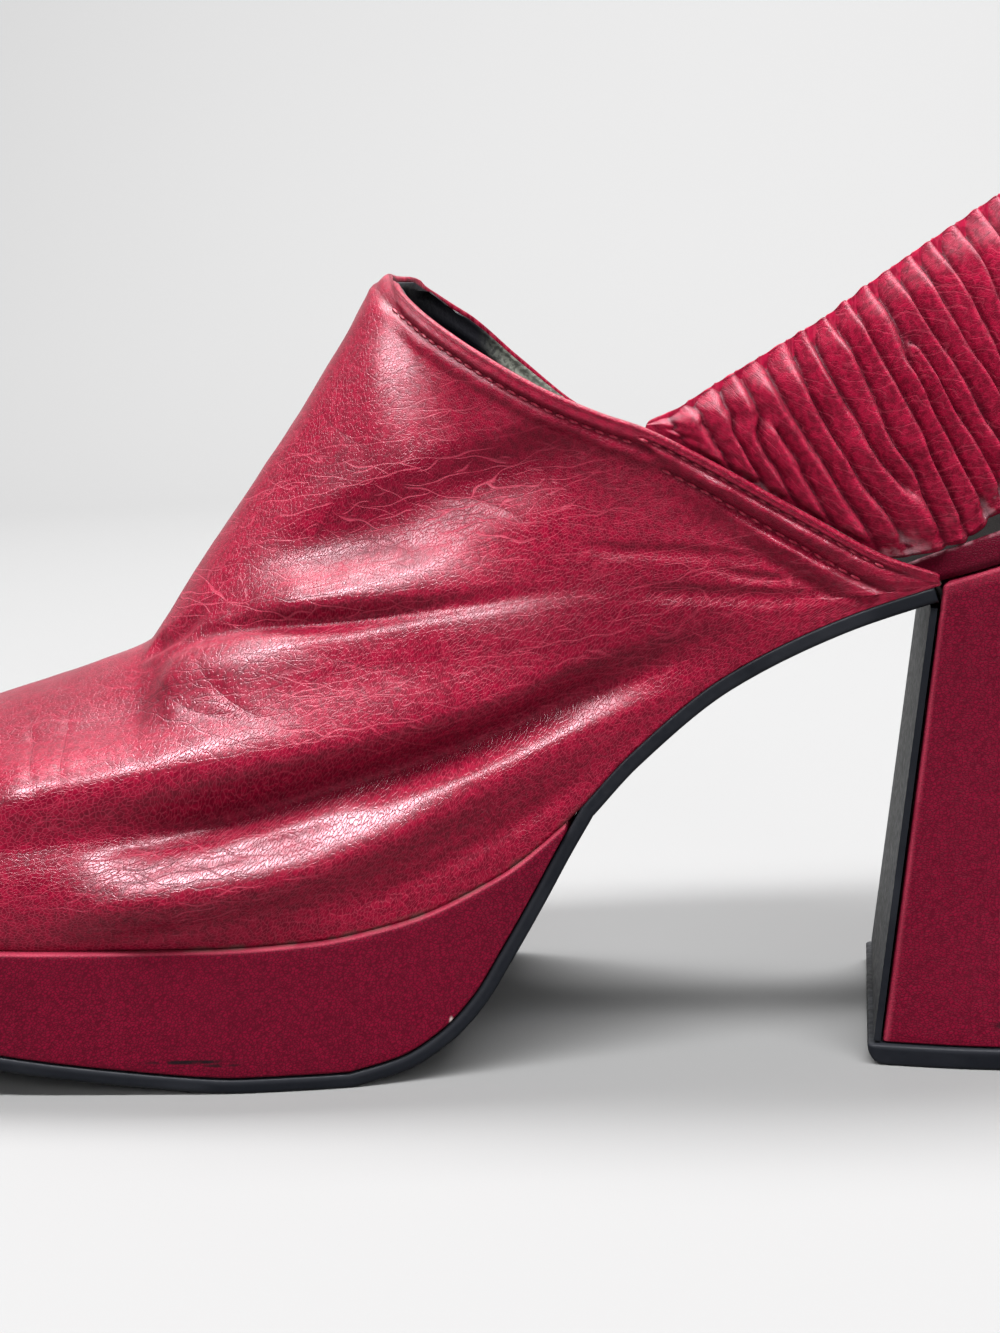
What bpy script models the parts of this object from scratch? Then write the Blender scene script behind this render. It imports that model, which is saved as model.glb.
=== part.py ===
"""Platform slingback: a closed leather vamp on a covered platform, a block heel and a gathered heel strap.

The shoe stands on its sole with +Z up. The toe points to -X, the inner side of the foot faces -Y,
and the origin is on the floor under the middle of the shoe. Tables are in millimetres, toe to heel.
"""

import math
from collections import namedtuple

import bmesh
import bpy
from mathutils import Vector

MM = 0.001

# Driving dimensions, in millimetres
TOE_TIP_X = -117.4
SEAT_BACK_X = 117.0
BALL_X = -52.0
SEAT_X = 86.0
GAP = 0.3
FOOT_LIFT = 0.1
FOOT_SKIRT = 1.0
WALL = 1.8
EDGE_STRIP_WIDTH = 4.2
EDGE_STRIP_RISE = 0.6
OUTSOLE_THICKNESS = 2.2
PLATFORM_LEDGE = 1.4
PLATFORM_END_X = 14.6
OUTSOLE_END_X = 69.8
FLAT_FRONT_X = -36.0
FLAT_BACK_X = -18.5
TOE_SPRING = 13.0
TOE_SPRING_POWER = 1.35
INSOLE_FORE_THICKNESS = 2.8
INSOLE_SEAT_THICKNESS = 4.8
INSOLE_INSET = 2.9
INSOLE_SEAT_INSET = 0.8
HEEL_BREAST_TOP_X = 71.2
HEEL_BREAST_BOTTOM_X = 59.8
HEEL_CAP_THICKNESS = 3.1
HEEL_CAP_LIP = 1.7
HEEL_CAP_ROLL = 2.4
HEEL_CAP_FLARE = 0.4
BREAST_COVER_THICKNESS = 1.0
BREAST_COVER_DROP = 1.4
STRAP_BASE = 1.4
PLEAT_HEIGHT = 1.7
PLEATS_PER_SIDE = 28
COLUMNS_PER_PLEAT = 3

# The last: height of the feather edge, sideways shift of the section's middle, half width
LastRow = namedtuple("LastRow", "x feather_z centre_y half_width")
LAST_ROWS = [
    LastRow(TOE_TIP_X, 26.8, -6.0, 41.2),
    LastRow(-100.0, 24.5, -4.6, 41.2),
    LastRow(-81.0, 23.3, -2.6, 41.2),
    LastRow(BALL_X, 22.5, -0.1, 41.2),
    LastRow(-38.0, 22.4, 0.4, 41.2),
    LastRow(-23.5, 22.8, 0.9, 40.0),
    LastRow(-10.0, 24.8, 1.5, 37.3),
    LastRow(4.5, 30.5, 2.0, 33.6),
    LastRow(14.3, 37.5, 2.2, 31.0),
    LastRow(24.4, 47.5, 2.1, 28.8),
    LastRow(39.0, 58.7, 1.6, 27.0),
    LastRow(56.1, 66.7, 0.8, 26.8),
    LastRow(70.3, 71.3, 0.2, 28.0),
    LastRow(SEAT_X, 75.7, 0.0, 29.0),
    LastRow(100.0, 78.8, 0.0, 29.0),
    LastRow(SEAT_BACK_X, 81.2, 0.0, 29.0),
]
TOE_ROUNDING = 2.6
SEAT_ROUNDING = 2.4

# Ridge of the vamp over the middle of the foot, up to the peak of the throat
RidgeRow = namedtuple("RidgeRow", "x z y")
TOE_BOX_X = -81.0
PEAK_X = -12.4
RIDGE_ROWS = [
    RidgeRow(TOE_TIP_X, 46.0, -6.0),
    RidgeRow(TOE_BOX_X, 56.2, -5.0),
    RidgeRow(-63.6, 61.0, -4.5),
    RidgeRow(-54.2, 64.5, -4.2),
    RidgeRow(-50.4, 68.8, -4.0),
    RidgeRow(-45.8, 75.3, -3.9),
    RidgeRow(-32.2, 93.4, -3.4),
    RidgeRow(-18.9, 112.2, -2.8),
    RidgeRow(-14.6, 118.9, -2.6),
    RidgeRow(PEAK_X, 120.4, -2.5),
]
TOE_BOX_ROUNDING = 3.2
TOE_BOX_FULLNESS = 2.2

# Top edge of the vamp behind the peak: its height on the inner side, the rise of the outer side
# above that, and its half width
RimRow = namedtuple("RimRow", "x z outer_rise half_y")
NOTCH_X = 28.4
RIM_ROWS = [
    RimRow(PEAK_X, 120.4, 0.0, 0.0),
    RimRow(-9.6, 117.4, 1.2, 9.5),
    RimRow(-3.6, 112.5, 0.9, 17.5),
    RimRow(3.2, 108.0, -1.8, 23.5),
    RimRow(13.9, 101.7, -5.6, 28.8),
    RimRow(22.6, 97.7, -6.0, 31.0),
    RimRow(NOTCH_X, 95.5, -5.8, 31.5),
    RimRow(36.9, 90.8, -5.0, 31.0),
    RimRow(50.9, 82.1, -3.0, 29.3),
    RimRow(63.6, 74.9, -0.8, 28.0),
    RimRow(70.6, 73.4, 0.0, 27.8),
]

# Sections of the vamp: where each one stands on the feather edge and where it meets the top line,
# how much of a full arch it is, and how far its side swells
VampRow = namedtuple("VampRow", "foot_x top_x arch swell")
VAMP_ROWS = [
    VampRow(TOE_TIP_X, TOE_TIP_X, 1.0, 0.0),
    VampRow(-116.4, -116.7, 1.0, 0.3),
    VampRow(-113.6, -114.3, 1.0, 0.8),
    VampRow(-108.5, -110.0, 1.0, 1.4),
    VampRow(-100.0, -102.6, 1.0, 2.0),
    VampRow(-88.5, -92.5, 1.0, 2.4),
    VampRow(-75.0, -81.0, 1.0, 2.6),
    VampRow(-61.0, -69.5, 1.0, 2.8),
    VampRow(-48.0, -60.0, 1.0, 3.0),
    VampRow(-37.0, -53.4, 1.0, 3.0),
    VampRow(-28.0, -48.2, 1.0, 3.0),
    VampRow(-19.0, -41.5, 1.0, 3.0),
    VampRow(-10.0, -33.8, 1.0, 3.0),
    VampRow(-1.0, -25.5, 1.0, 3.0),
    VampRow(6.0, -17.5, 1.0, 3.0),
    VampRow(9.5, PEAK_X, 1.0, 3.0),
    VampRow(14.5, -8.6, 0.93, 3.0),
    VampRow(20.0, -2.4, 0.8, 2.8),
    VampRow(26.0, 5.5, 0.66, 2.4),
    VampRow(33.0, 16.0, 0.55, 2.0),
    VampRow(39.5, 27.2, 0.5, 1.6),
    VampRow(45.0, 35.2, 0.45, 1.2),
    VampRow(51.0, 43.7, 0.4, 0.8),
    VampRow(57.5, 53.0, 0.4, 0.5),
    VampRow(64.0, 62.3, 0.4, 0.2),
    VampRow(70.8, 70.6, 0.4, 0.0),
]
PEAK_ROW = 15
STRIP_ROW = 20
TAIL_ROW = len(VAMP_ROWS) - 1
ARCH_HEIGHT_POWER = 2.4
ARCH_WIDTH_POWER = 2.0
SIDE_STEPS = 8

# Top of the outsole behind its flat, up the back of the platform to the arch
SoleRow = namedtuple("SoleRow", "x z")
ARCH_START_X = 17.0
SOLE_ROWS = [
    SoleRow(FLAT_BACK_X, OUTSOLE_THICKNESS),
    SoleRow(-11.2, 3.9),
    SoleRow(-5.1, 7.3),
    SoleRow(-0.1, 12.2),
    SoleRow(4.4, 19.0),
    SoleRow(9.4, 27.1),
    SoleRow(13.5, 34.1),
    SoleRow(ARCH_START_X, 39.7),
]

# The block heel, from its top down: the back edge, half width, and half width at the breast
HeelRow = namedtuple("HeelRow", "share back_x half_width breast_half_width")
HEEL_ROWS = [
    HeelRow(0.0, 116.6, 28.8, 27.2),
    HeelRow(0.3, 114.2, 28.6, 26.9),
    HeelRow(0.65, 113.4, 30.2, 27.8),
    HeelRow(1.0, 115.6, 33.2, 29.4),
]
HEEL_STRAIGHT_SHARE = 0.42

# Heel strap, from the notch of the vamp to the middle of the back. Each row is one line across the
# strap: its top end, its low end, and how far the low end is tucked inside the vamp
StrapRow = namedtuple("StrapRow", "top_x top_z top_y low_x low_z low_y tuck")
STRAP_ROWS = [
    StrapRow(29.2, 96.4, 28.4, 28.8, 95.2, 28.2, 2.5),
    StrapRow(34.1, 98.6, 28.9, 39.7, 89.4, 28.1, 4.0),
    StrapRow(40.6, 102.3, 29.0, 49.2, 83.6, 26.9, 3.6),
    StrapRow(48.7, 106.7, 28.8, 63.8, 75.8, 25.6, 0.4),
    StrapRow(56.4, 111.0, 28.4, 73.7, 77.7, 25.9, 0.0),
    StrapRow(63.1, 115.6, 27.8, 79.5, 82.1, 26.0, 0.0),
    StrapRow(74.1, 122.4, 26.2, 89.9, 86.7, 25.2, 0.0),
    StrapRow(86.1, 129.3, 22.8, 101.0, 90.4, 21.8, 0.0),
    StrapRow(97.5, 134.8, 17.0, 110.6, 93.1, 14.4, 0.0),
    StrapRow(107.4, 137.8, 9.0, 116.9, 94.4, 7.0, 0.0),
    StrapRow(111.9, 138.5, 0.0, 118.8, 95.0, 0.0, 0.0),
]
STRAP_BELLY = 1.5
VAMP_EDGE_CLEARANCE = 0.8
EDGE_PUFF = 0.45

# Linear colours, roughness
CRIMSON = (0.262, 0.006, 0.024, 1.0)
CRIMSON_DEEP = (0.165, 0.006, 0.024, 1.0)
SOLE_BLACK = (0.012, 0.014, 0.018, 1.0)
LINING_BLACK = (0.018, 0.016, 0.018, 1.0)


class Curve:
    """A smooth curve through two columns of a table, with no overshoot between its rows."""

    def __init__(self, places, values):
        self.places = list(places)
        self.values = list(values)
        spans = [b - a for a, b in zip(self.places, self.places[1:])]
        rises = [(b - a) / s for a, b, s in zip(self.values, self.values[1:], spans)]
        self.slopes = [rises[0]]
        for left, right in zip(rises, rises[1:]):
            level = left * right <= 0.0
            self.slopes.append(0.0 if level else 2.0 * left * right / (left + right))
        self.slopes.append(rises[-1])

    def __call__(self, place):
        last = len(self.places) - 2
        i = 0
        while i < last and place > self.places[i + 1]:
            i += 1
        span = self.places[i + 1] - self.places[i]
        t = min(1.0, max(0.0, (place - self.places[i]) / span))
        start = self.values[i] * (1.0 + 2.0 * t) * (1.0 - t) ** 2
        start += self.slopes[i] * span * t * (1.0 - t) ** 2
        end = self.values[i + 1] * (3.0 - 2.0 * t) * t**2
        end += self.slopes[i + 1] * span * (t - 1.0) * t**2
        return start + end


def column(rows, value, place="x"):
    """The curve of one named column of a table against another."""
    return Curve([getattr(r, place) for r in rows], [getattr(r, value) for r in rows])


def numbered(rows, value):
    """The curve of one named column of a table against the row's number."""
    return Curve(range(len(rows)), [getattr(r, value) for r in rows])


FEATHER_Z = column(LAST_ROWS, "feather_z")
CENTRE_Y = column(LAST_ROWS, "centre_y")
BODY_HALF_WIDTH = column(LAST_ROWS, "half_width")
RIDGE_LINE_Z = column(RIDGE_ROWS, "z")
RIDGE_Y = column(RIDGE_ROWS, "y")
RIM_Z = column(RIM_ROWS, "z")
RIM_OUTER_RISE = column(RIM_ROWS, "outer_rise")
RIM_HALF_Y = column(RIM_ROWS, "half_y")
VAMP_FOOT_X = numbered(VAMP_ROWS, "foot_x")
VAMP_TOP_X = numbered(VAMP_ROWS, "top_x")
VAMP_ARCH = numbered(VAMP_ROWS, "arch")
VAMP_SWELL = numbered(VAMP_ROWS, "swell")
SOLE_CLIMB_Z = column(SOLE_ROWS, "z")


def rounded_end(t, rounding):
    """Share of the full width left at t, from 1 where the end begins to 0 at its tip."""
    return math.sqrt(max(0.0, 1.0 - min(1.0, max(0.0, t)) ** rounding))


def half_width(x, grow=0.0):
    """Half width of the last's outline at x, grown all round by a margin."""
    toe_share = (BALL_X - x) / (BALL_X - TOE_TIP_X + grow)
    seat_share = (x - SEAT_X) / (SEAT_BACK_X - SEAT_X + grow)
    body = BODY_HALF_WIDTH(x) + grow
    return body * rounded_end(toe_share, TOE_ROUNDING) * rounded_end(seat_share, SEAT_ROUNDING)


def ridge_z(x):
    """Height of the vamp's ridge, rounded down to the feather edge at the toe."""
    t = max(0.0, (TOE_BOX_X - x) / (TOE_BOX_X - TOE_TIP_X))
    share = max(0.0, 1.0 - t**TOE_BOX_ROUNDING) ** (1.0 / TOE_BOX_FULLNESS)
    return FEATHER_Z(x) + (RIDGE_LINE_Z(x) - FEATHER_Z(x)) * share


def toe_spring(x):
    """Lift of the sole in front of its flat."""
    t = max(0.0, (FLAT_FRONT_X - x) / (FLAT_FRONT_X - TOE_TIP_X))
    return TOE_SPRING * t**TOE_SPRING_POWER


def sole_top_z(x):
    """Height of the outsole's upper face, under the platform and then under the arch."""
    if x < FLAT_BACK_X:
        return OUTSOLE_THICKNESS + toe_spring(x)
    if x < ARCH_START_X:
        return min(SOLE_CLIMB_Z(x), FEATHER_Z(x) - GAP)
    return FEATHER_Z(x) - GAP


def spread(start, end, count, power=1.0):
    """Places from start to end, gathered towards start where power is over 1."""
    return [start + (end - start) * (i / count) ** power for i in range(count + 1)]


def metres(point):
    return Vector(point) * MM


def finish(name, bm, colour, roughness, collection):
    """Makes a named object from a mesh, welded, shaded smooth, with a material of its own."""
    bmesh.ops.remove_doubles(bm, verts=bm.verts, dist=0.002 * MM)
    bmesh.ops.dissolve_degenerate(bm, edges=bm.edges, dist=0.001 * MM)
    mesh = bpy.data.meshes.new(name)
    bm.to_mesh(mesh)
    bm.free()
    mesh.shade_smooth()
    mesh.set_sharp_from_angle(angle=math.radians(40.0))
    material = bpy.data.materials.new(name)
    material.use_nodes = True
    shader = material.node_tree.nodes["Principled BSDF"]
    shader.inputs["Base Color"].default_value = colour
    shader.inputs["Roughness"].default_value = roughness
    shader.inputs["Metallic"].default_value = 0.0
    mesh.materials.append(material)
    obj = bpy.data.objects.new(name, mesh)
    collection.objects.link(obj)
    return obj


def grid_faces(bm, rows, flip=False):
    """Faces between rows of points, for a loft between unlike sections."""
    made = [[bm.verts.new(metres(p)) for p in row] for row in rows]
    for low, high in zip(made, made[1:]):
        for k in range(len(low) - 1):
            corners = [low[k], low[k + 1], high[k + 1], high[k]]
            bm.faces.new(corners[::-1] if flip else corners)
    return made


def loft_rings(bm, rings):
    """A closed body through rings of points, capped at both ends."""
    grid_faces(bm, [list(ring) + [ring[0]] for ring in rings])
    bmesh.ops.remove_doubles(bm, verts=bm.verts, dist=0.002 * MM)
    bmesh.ops.holes_fill(bm, edges=bm.edges, sides=0)
    bmesh.ops.recalc_face_normals(bm, faces=bm.faces)


def thicken(obj, thickness, offset):
    """Gives an open surface its thickness, behind its face for -1 and before it for 1."""
    wall = obj.modifiers.new("Thickness", "SOLIDIFY")
    wall.thickness = thickness * MM
    wall.offset = offset
    wall.use_quality_normals = True
    return wall


def vamp_foot(section, side):
    """Where a section of the vamp stands on the feather edge."""
    x = VAMP_FOOT_X(section)
    return Vector((x, CENTRE_Y(x) + side * half_width(x), FEATHER_Z(x) - FOOT_SKIRT))


def vamp_top(section, side):
    """Where a section of the vamp ends: on the ridge, or on the top edge behind the peak."""
    x = VAMP_TOP_X(section)
    if section <= PEAK_ROW:
        return Vector((x, RIDGE_Y(x), ridge_z(x)))
    rise = RIM_OUTER_RISE(x) if side > 0 else 0.0
    centre = RIDGE_Y(PEAK_X) * max(0.0, (NOTCH_X - x) / (NOTCH_X - PEAK_X))
    return Vector((x, centre + side * RIM_HALF_Y(x), RIM_Z(x) + rise))


def arch_share(height, arch):
    """Half width of an arch at a share of its height, from 1 at its foot."""
    return (1.0 - (height * arch) ** ARCH_HEIGHT_POWER) ** (1.0 / ARCH_WIDTH_POWER)


def vamp_point(section, height, side):
    """The vamp's outer surface, at a share of the height of one of its sections."""
    foot = vamp_foot(section, side)
    top = vamp_top(section, side)
    arch = VAMP_ARCH(section)
    point = foot.lerp(top, height)
    narrowed = 1.0 - arch_share(min(1.0, height), arch)
    whole = 1.0 - arch_share(1.0, arch)
    point.y = foot.y + (top.y - foot.y) * narrowed / whole
    point.y += side * VAMP_SWELL(section) * 6.75 * height * (1.0 - height) ** 2
    return point


def vamp_heights(section, side):
    """Shares of height for the points of one section, with three rows along the edge strip."""
    tall = (vamp_top(section, side) - vamp_foot(section, side)).length
    strip = min(0.55, EDGE_STRIP_WIDTH / max(tall, EDGE_STRIP_WIDTH))
    turn = [math.pi / 2 * k / SIDE_STEPS for k in range(SIDE_STEPS)]
    body = [(1.0 - strip) * math.sin(t) ** (2.0 / ARCH_HEIGHT_POWER) for t in turn]
    return body + [1.0 - strip * 1.12, 1.0 - strip, 1.0]


def strip_weight(section, level, levels):
    """1 on the raised strip along the back edges of the vamp, 0 elsewhere."""
    return 1.0 if section >= STRIP_ROW and level >= levels - 2 else 0.0


def build_foot_cutter(collection):
    """Everything under the feather edge, which the vamp's wall is cut back to."""
    rings = []
    wide = 1.5 * BODY_HALF_WIDTH(BALL_X)
    for x in [TOE_TIP_X - 10.0] + forefoot_places() + arch_places() + [SEAT_X]:
        high = FEATHER_Z(x) + FOOT_LIFT
        rings.append([(x, -wide, 0.0), (x, wide, 0.0), (x, wide, high), (x, -wide, high)])
    bm = bmesh.new()
    loft_rings(bm, rings)
    cutter = finish("foot_cutter", bm, SOLE_BLACK, 0.5, collection)
    cutter.hide_render = True
    cutter.display_type = "WIRE"
    return cutter


def build_upper(collection, cutter):
    """The vamp: one hollow wall, open at the throat and heel and underneath."""
    bm = bmesh.new()
    sections = [0, 1, 2, 3, 4, 5, 6, 7, 8, 9, 9.5] + list(range(10, TAIL_ROW + 1))
    weight_layer = bm.verts.layers.deform.new()
    rise = {}
    for side in (-1, 1):
        rows = []
        for section in sections:
            levels = vamp_heights(section, side)
            rows.append([vamp_point(section, h, side) for h in levels])
        made = grid_faces(bm, rows, flip=side < 0)
        for section, row in zip(sections, made):
            for level, vert in enumerate(row):
                rise[vert] = strip_weight(section, level, len(row))
    bm.normal_update()
    full = WALL + EDGE_STRIP_RISE
    for vert, share in rise.items():
        vert.co += vert.normal * share * EDGE_STRIP_RISE * MM
        vert[weight_layer][0] = (WALL + share * EDGE_STRIP_RISE) / full
    upper = finish("upper", bm, CRIMSON, 0.38, collection)
    upper.vertex_groups.new(name="Wall")
    wall = thicken(upper, full, -1.0)
    wall.vertex_group = "Wall"
    foot = upper.modifiers.new("Foot", "BOOLEAN")
    foot.operation = "DIFFERENCE"
    foot.solver = "MANIFOLD"
    foot.object = cutter
    return upper


def forefoot_places():
    """Places along the platform and its outsole, gathered at the toe."""
    places = spread(TOE_TIP_X - PLATFORM_LEDGE, BALL_X, 10, 1.8)
    places += spread(BALL_X, FLAT_FRONT_X, 2)[1:] + spread(FLAT_FRONT_X, FLAT_BACK_X, 2)[1:]
    return places + spread(FLAT_BACK_X, PLATFORM_END_X, 14)[1:]


def arch_places():
    """Places along the outsole behind the platform."""
    return spread(PLATFORM_END_X, OUTSOLE_END_X, 16)[1:]


def build_platform(collection):
    """The covered platform under the forefoot, drawn out to an edge under the arch."""
    rings = []
    for x in forefoot_places():
        half = half_width(x, PLATFORM_LEDGE)
        low = sole_top_z(x) + GAP
        high = FEATHER_Z(x) - GAP
        centre = CENTRE_Y(x)
        ring = [(x, centre - half, low), (x, centre + half, low)]
        ring += [(x, centre + half, high), (x, centre - half, high)]
        rings.append(ring)
    bm = bmesh.new()
    loft_rings(bm, rings)
    return finish("platform", bm, CRIMSON_DEEP, 0.42, collection)


def build_outsole(collection):
    """The thin black outsole: under the platform, up its back and along the arch to the heel."""
    ends = [TOE_TIP_X, FLAT_BACK_X, PLATFORM_END_X + 4.0, OUTSOLE_END_X]
    grow = Curve(ends, [PLATFORM_LEDGE, PLATFORM_LEDGE - 0.2, 0.5, 0.2])
    rows = []
    for x in forefoot_places() + arch_places():
        half = half_width(x, grow(x))
        centre = CENTRE_Y(x)
        z = sole_top_z(x)
        rows.append([(x, centre - half, z), (x, centre, z), (x, centre + half, z)])
    bm = bmesh.new()
    grid_faces(bm, rows, flip=True)
    outsole = finish("outsole", bm, SOLE_BLACK, 0.55, collection)
    thicken(outsole, OUTSOLE_THICKNESS, -1.0)
    return outsole


def build_insole(collection):
    """The insole, inside the vamp in front and bare over the heel seat."""
    insets = [INSOLE_INSET, INSOLE_INSET, INSOLE_SEAT_INSET, INSOLE_SEAT_INSET]
    inset = Curve([TOE_TIP_X, OUTSOLE_END_X - 0.8, HEEL_BREAST_TOP_X + 5.8, SEAT_BACK_X], insets)
    seat_share = Curve([TOE_TIP_X, 40.0, 90.0, SEAT_BACK_X], [0.0, 0.0, 1.0, 1.0])
    places = spread(TOE_TIP_X + INSOLE_INSET, BALL_X, 8, 1.7)
    places += [x for x in forefoot_places() if x > BALL_X] + arch_places()
    places += spread(OUTSOLE_END_X, SEAT_X, 4)[1:] + spread(SEAT_BACK_X, SEAT_X, 7, 1.7)[-2::-1]
    rings = []
    for x in places:
        half = half_width(x, -inset(x))
        low = FEATHER_Z(x) + FOOT_LIFT
        thick = INSOLE_FORE_THICKNESS
        thick += (INSOLE_SEAT_THICKNESS - INSOLE_FORE_THICKNESS) * seat_share(x)
        centre = CENTRE_Y(x)
        ring = [(x, centre - half, low), (x, centre + half, low)]
        ring += [(x, centre + half, low + thick), (x, centre - half, low + thick)]
        rings.append(ring)
    bm = bmesh.new()
    loft_rings(bm, rings)
    return finish("insole", bm, LINING_BLACK, 0.6, collection)


def heel_breast_x(z):
    """The slanting front face of the heel."""
    top_z = FEATHER_Z(HEEL_BREAST_TOP_X)
    share = (top_z - z) / top_z
    return HEEL_BREAST_TOP_X + (HEEL_BREAST_BOTTOM_X - HEEL_BREAST_TOP_X) * share


def heel_outline_share(t, breast_share):
    """Half width along the heel from its breast at 0 to its back at 1, as a share of the widest."""
    if t < HEEL_STRAIGHT_SHARE:
        swing = math.sin(math.pi / 2 * t / HEEL_STRAIGHT_SHARE)
        return breast_share + (1.0 - breast_share) * swing
    return rounded_end((t - HEEL_STRAIGHT_SHARE) / (1.0 - HEEL_STRAIGHT_SHARE), SEAT_ROUNDING)


def heel_places():
    """Shares along the heel, gathered towards its round back."""
    front = spread(0.0, HEEL_STRAIGHT_SHARE, 4)
    return front + [1.0 - s for s in spread(0.0, 1.0 - HEEL_STRAIGHT_SHARE, 9, 2.2)[-2::-1]]


def build_heel(collection):
    """The covered block heel, its seat following the last."""
    back = column(HEEL_ROWS, "back_x", "share")
    half = column(HEEL_ROWS, "half_width", "share")
    breast = column(HEEL_ROWS, "breast_half_width", "share")
    foot_z = HEEL_CAP_THICKNESS + GAP
    levels = [0.0, 0.15, 0.32, 0.5, 0.68, 0.84, 1.0]
    rings = []
    for t in heel_places():
        near = []
        for share in levels:
            seat_z = FEATHER_Z(HEEL_BREAST_TOP_X)
            x = heel_breast_x(seat_z + (foot_z - seat_z) * share)
            x += (back(share) - x) * t
            z = FEATHER_Z(x) - GAP
            z += (foot_z - z) * share
            wide = half(share) * heel_outline_share(t, breast(share) / half(share))
            near.append((x, -wide, z))
        far = [(x, -y, z) for x, y, z in reversed(near)]
        rings.append(near + far)
    bm = bmesh.new()
    loft_rings(bm, rings)
    return finish("heel", bm, CRIMSON_DEEP, 0.42, collection)


def build_heel_cap(collection):
    """The black cap that the heel stands on, a little proud of it in front."""
    foot = HEEL_ROWS[-1]
    front = HEEL_BREAST_BOTTOM_X - HEEL_CAP_LIP
    long = foot.back_x + HEEL_CAP_FLARE - front
    high = HEEL_CAP_THICKNESS
    rings = []
    for t in [0.0, 0.008, 0.022, 0.045] + heel_places()[1:]:
        x = front + long * t
        wide = heel_outline_share(t, foot.breast_half_width / foot.half_width)
        half = (foot.half_width + HEEL_CAP_FLARE) * wide
        roll = max(0.0, 1.0 - t * long / HEEL_CAP_ROLL)
        low = HEEL_CAP_ROLL * (1.0 - math.sqrt(1.0 - roll**2))
        rings.append([(x, -half, low), (x, half, low), (x, half, high), (x, -half, high)])
    bm = bmesh.new()
    loft_rings(bm, rings)
    return finish("heel_cap", bm, SOLE_BLACK, 0.5, collection)


def build_breast_cover(collection):
    """The thin black cover on the front face of the heel, under the end of the outsole."""
    high = FEATHER_Z(HEEL_BREAST_TOP_X) - GAP - OUTSOLE_THICKNESS - BREAST_COVER_DROP
    low = HEEL_CAP_THICKNESS + GAP
    breast = column(HEEL_ROWS, "breast_half_width", "share")
    rows = []
    for z in spread(low, high, 5):
        x = heel_breast_x(z) - GAP
        half = breast((high - z) / (high - low)) - 0.2
        rows.append([(x, -half, z), (x, 0.0, z), (x, half, z)])
    bm = bmesh.new()
    grid_faces(bm, rows)
    cover = finish("breast_cover", bm, SOLE_BLACK, 0.5, collection)
    thicken(cover, BREAST_COVER_THICKNESS, -1.0)
    return cover


def strap_line(along, side):
    """Top end, low end and tuck of the line across the strap at a row number."""
    value = {name: numbered(STRAP_ROWS, name)(along) for name in StrapRow._fields}
    top = Vector((value["top_x"], side * value["top_y"], value["top_z"]))
    low = Vector((value["low_x"], side * value["low_y"], value["low_z"]))
    if side > 0:
        top.z += RIM_OUTER_RISE(NOTCH_X) * max(0.0, 1.0 - along / 8.0)
        low.z += RIM_OUTER_RISE(low.x)
    return top, low, value["tuck"]


def pleat(count):
    """Height of the gathers at a pleat number, from 0 in a furrow to 1 on a crest."""
    return abs(math.sin(math.pi * count)) ** 0.8


def strap_ring(along, count, side):
    """Points round the strap on one line across it: the pleated face up, then the lining down."""
    top, low, tuck = strap_line(along, side)
    across = (top - low).normalized()
    length = (top - low).length + tuck
    start = low - across * tuck
    ahead = strap_line(min(along + 0.05, len(STRAP_ROWS) - 1.0), side)[1]
    behind = strap_line(max(along - 0.05, 0.0), side)[1]
    out = across.cross(ahead - behind) * side
    out = Vector((out.x, out.y, 0.0)).normalized()
    hem = tuck + VAMP_EDGE_CLEARANCE
    hem_puff = EDGE_PUFF * max(0.0, 1.0 - tuck / 0.4)
    steps = [(0.0, hem_puff), (hem, hem_puff)]
    for share, puff in ((0.3, 1.0), (0.75, 1.0), (1.0, EDGE_PUFF)):
        steps.append((hem + (length - hem) * share, puff * min(1.0, along / 0.8)))
    face, lining = [], []
    for distance, puff in steps:
        belly = STRAP_BELLY * math.sin(math.pi * distance / length) * min(1.0, along / 5.0)
        base = start + across * distance + out * belly
        face.append(base + out * PLEAT_HEIGHT * pleat(count) * puff)
        lining.append(base - out * STRAP_BASE)
    return face + lining[::-1]


def build_strap(collection):
    """The gathered strap round the heel, its ends tucked inside the vamp's back edges."""
    tops = [Vector((r.top_x, r.top_y, r.top_z)) for r in STRAP_ROWS]
    run = [0.0]
    for before, after in zip(tops, tops[1:]):
        run.append(run[-1] + (after - before).length)
    row_at = Curve(run, range(len(run)))
    steps = PLEATS_PER_SIDE * COLUMNS_PER_PLEAT
    rings = []
    for side in (-1, 1):
        half = []
        for i in range(steps + 1):
            half.append(strap_ring(row_at(run[-1] * i / steps), i / COLUMNS_PER_PLEAT, side))
        rings += half if side < 0 else half[-2::-1]
    bm = bmesh.new()
    loft_rings(bm, rings)
    return finish("heel_strap", bm, CRIMSON, 0.42, collection)


def main():
    for obj in list(bpy.data.objects):
        bpy.data.objects.remove(obj)
    shoe = bpy.data.collections.new("platform_slingback")
    bpy.context.scene.collection.children.link(shoe)
    build_outsole(shoe)
    build_platform(shoe)
    build_heel(shoe)
    build_heel_cap(shoe)
    build_breast_cover(shoe)
    build_insole(shoe)
    cutters = bpy.data.collections.new("cutters")
    bpy.context.scene.collection.children.link(cutters)
    build_upper(shoe, build_foot_cutter(cutters))
    build_strap(shoe)


main()
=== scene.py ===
"""Looks of a platform slingback: creased vamp, gathered heel strap, covered platform and block heel.

Tables are in millimetres in the part's own frame: the toe points to -X, the inner side of the foot
faces -Y and the floor is at z = 0. A mesh turns to metres where it is made.
"""

import itertools
import logging
import math
from dataclasses import dataclass, field
from enum import Enum

import bmesh
import bpy
import numpy as np
from mathutils import Matrix, Vector


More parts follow.
